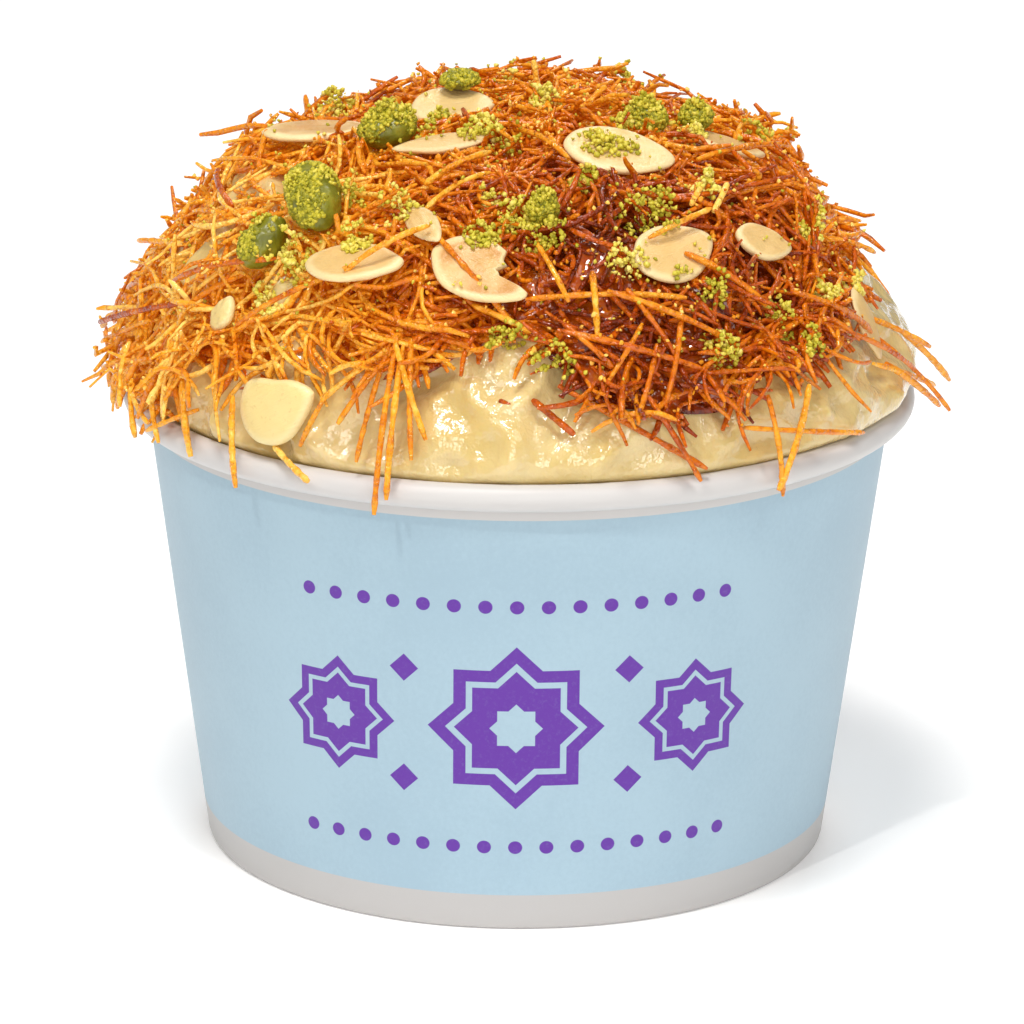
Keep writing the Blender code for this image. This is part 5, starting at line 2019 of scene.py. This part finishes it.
@dataclass
class Crumbs:
    """Ground pistachio in mossy piles, a dusting of it, and grains of broken pastry."""

    piles: tuple[tuple[float, float], ...] = (
        (215, 19), (247, 18), (203, 28), (311, 7), (263, 43), (269, 47), (287, 39), (275, 51), (239, 55),
        (244, 48), (262, 51), (228, 60), (224, 66), (319, 25), (345, 33), (8, 44), (315, 46), (301, 47),
        (296, 48), (333, 58), (303, 63), (289, 57), (328, 67), (340, 68), (316, 67), (318, 73), (302, 71),
        (275, 71), (268, 68), (60, 40), (120, 50), (95, 28), (150, 40), (75, 62), (140, 68), (30, 55),
    )
    # Azimuth, polar angle, reach and number of crumbs.
    on_nuts: tuple[tuple[float, float, float, int], ...] = (
        (301, 29, 0.0034, 150), (308, 32, 0.0018, 40), (229, 47, 0.0030, 150), (224, 52, 0.0022, 60),
        (219, 57, 0.0018, 40), (215, 30, 0.0042, 190), (222, 26, 0.0030, 80),
        (250, 24, 0.0030, 110), (262, 20, 0.0024, 70), (340, 24, 0.0036, 170), (352, 32, 0.0026, 90),
        (264, 52, 0.0022, 60), (300, 52, 0.0018, 30), (298, 60, 0.0016, 24), (275, 46, 0.0026, 80),
        (62, 62, 0.0026, 60),
    )
    dust: int = 260
    grains: int = 460
    strewn_reach: float = 0.004
    pile_sizes: tuple[float, float] = (0.00014, 0.00046)
    dust_sizes: tuple[float, float] = (0.00018, 0.00036)
    grain_sizes: tuple[float, float] = (0.00016, 0.00042)
    turn: float = math.pi * (3 - math.sqrt(5))

    def strewn(self, count: int, lowest: float, reach: float, amount: int, tone: float) -> list[CrumbPile]:
        """Small piles spread evenly over the mound.

        Args:
            count: How many.
            lowest: Polar angle of the lowest, in degrees.
            reach: How far each spreads.
            amount: Crumbs in each.
            tone: Their shade.

        Returns:
            The piles.
        """
        made = []
        for number in range(count):
            polar = math.degrees(math.acos(1 - (1 - math.cos(math.radians(lowest))) * (number + 0.5) / count))
            azimuth = math.degrees(number * self.turn) % 360
            if polar < math.degrees(MOUND.edge(math.radians(azimuth))) - 1:
                made.append(CrumbPile((azimuth, polar), reach, 0.0006, amount, tone))
        return made

    def ground(self, pieces: Sequence[Piece]) -> Piece:
        """A helper object of several pieces, which crumbs drop onto."""
        return link_object("ground", joined("ground", [piece.data for piece in pieces]))

    def build(
        self,
        pistachio: PistachioFinish,
        pastry: Material,
        nuts: Sequence[Piece],
        shreds: Sequence[Piece],
    ) -> None:
        """Make every crumb.

        Args:
            pistachio: Finish of the pistachio.
            pastry: Material of the pastry grains.
            nuts: The nuts.
            shreds: The pieces of the heap.
        """
        scatter = CrumbScatter()
        green = pistachio.crumb()
        draw = random.Random(8)
        ground = self.ground([*nuts, *shreds])
        piles = []
        for at in self.piles:
            reach, height = draw.uniform(0.0018, 0.0036), draw.uniform(0.0012, 0.0026)
            piles.append(CrumbPile(at, reach, height, draw.randint(90, 210), draw.uniform(0.35, 0.8)))
        piles += [CrumbPile((a, p), reach, 0.0016, amount, 0.45) for a, p, reach, amount in self.on_nuts]
        heaped = scatter.run(piles, ground, self.pile_sizes, 3, green)
        add_piece("pistachio_crumbs", heaped)
        dust = self.strewn(self.dust, 72, self.strewn_reach, 3, 0.5)
        add_piece("pistachio_dust", scatter.run(dust, ground, self.dust_sizes, 4, green))
        grains = self.strewn(self.grains, 84, self.strewn_reach, 9, 0.22)
        bed = self.ground(shreds)
        add_piece("pastry_grains", scatter.run(grains, bed, self.grain_sizes, 5, pastry))
        bpy.data.objects.remove(ground)
        bpy.data.objects.remove(bed)


@dataclass(frozen=True)
class Lamp:
    """A square softbox: where it hangs, its width, its power in watts and its colour."""

    name: str
    at: tuple[float, float, float]
    width: float
    watts: float
    colour: tuple[float, float, float] = (1.0, 1.0, 1.0)

    def hang(self) -> None:
        """Hang it so that it faces the food."""
        data = bpy.data.lights.new(self.name, "AREA")
        data.shape = "SQUARE"
        data.size = self.width
        data.energy = self.watts
        data.color = self.colour
        lamp = link_object(self.name, data)
        at = Vector(self.at)
        aim = Vector((0.0, 0.0, 0.06)) - at
        lamp.matrix_world = Matrix.Translation(at) @ aim.to_track_quat("-Z", "Y").to_matrix().to_4x4()


@dataclass
class Studio:
    """White sweep of floor, soft lights and the camera."""

    camera_at: tuple[float, float, float] = (0.0, -0.84661, 0.30710)
    pitch: float = 17.0185
    yaw: float = 0.0594
    roll: float = 0.469
    lens: float = 212.52
    sensor: float = 36.0
    floor_size: float = 6.0
    floor_glow: float = 0.14
    sky: float = 0.20
    lamps: tuple[Lamp, ...] = (
        Lamp("key", (-0.12, -0.36, 1.30), 0.30, 9.0, (1.0, 0.98, 0.95)),
        Lamp("sparkle", (-0.40, -0.80, 0.95), 0.035, 2.6, (1.0, 0.97, 0.92)),
        Lamp("glint", (0.35, -0.75, 1.0), 0.03, 1.5, (1.0, 0.98, 0.95)),
        Lamp("front", (0.15, -1.4, 0.5), 0.6, 4.6),
        Lamp("left", (-0.65, -0.5, 1.25), 0.6, 2.4),
        Lamp("right", (0.8, -0.75, 1.1), 0.7, 2.6),
        Lamp("back", (0.1, 0.9, 1.1), 0.5, 5.0),
    )

    def camera(self) -> None:
        """Place the camera at the photograph's view."""
        data = bpy.data.cameras.new("camera")
        data.lens = self.lens
        data.sensor_width = self.sensor
        data.clip_start = 0.01
        data.clip_end = 20.0
        camera = link_object("camera", data)
        turn = Matrix.Rotation(math.radians(self.yaw), 4, "Z")
        turn @= Matrix.Rotation(math.radians(90 - self.pitch), 4, "X")
        turn @= Matrix.Rotation(math.radians(self.roll), 4, "Z")
        camera.matrix_world = Matrix.Translation(self.camera_at) @ turn
        bpy.context.scene.camera = camera

    def floor(self) -> None:
        """Lay the floor."""
        shape = bmesh.new()
        bmesh.ops.create_grid(shape, x_segments=1, y_segments=1, size=self.floor_size)
        mesh = bpy.data.meshes.new("floor")
        shape.to_mesh(mesh)
        shape.free()
        graph = ShaderGraph("floor")
        graph.finish(
            colour=srgb(250, 250, 250), roughness=0.9, specular=0.1,
            emission=(1, 1, 1, 1), emission_strength=self.floor_glow,
        )
        mesh.materials.append(graph.material)
        floor = link_object("floor", mesh)
        floor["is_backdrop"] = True

    def build(self) -> None:
        """Make the studio."""
        self.camera()
        self.floor()
        world = bpy.data.worlds.new("studio")
        world.use_nodes = True
        world.node_tree.nodes["Background"].inputs[0].default_value = (1.0, 1.0, 1.0, 1.0)
        world.node_tree.nodes["Background"].inputs[1].default_value = self.sky
        bpy.context.scene.world = world
        for lamp in self.lamps:
            lamp.hang()
        bpy.context.scene.view_settings.view_transform = "Standard"


def write_sizes() -> None:
    """Gather the CAD box and the visual model's box as plain lists."""
    boxes = {"cad": CAD_BOX, "visual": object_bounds()}
    plain = {name: [list(corner) for corner in box] for name, box in boxes.items()}


def main() -> None:
    """Build the studio, then the part from the tub up."""
    logging.basicConfig(level=logging.INFO, format="%(message)s")
    # Without a seed, Blender's noise vectors change from run to run.
    noise.seed_set(NOISE_SEED)
    Studio().build()
    Tub().build(BoardFinish())
    CreamFilling().build(CreamFinish())
    nuts = AlmondFlakes().build(AlmondFinish())
    kernels = PistachioKernels().build(PistachioFinish())
    KernelCoat().build(kernels, PistachioFinish())
    nuts += kernels
    shreds, pastry = ShredHeap().build(PastryFinish(), nuts)
    # The syrup fills the under, middle and fringe layers.
    shreds.append(SyrupGlaze().build(SyrupFinish(), [*shreds[1:3], shreds[5]]))
    Crumbs().build(PistachioFinish(), pastry, nuts, shreds)
    write_sizes()


if __name__ == "__main__":
    main()
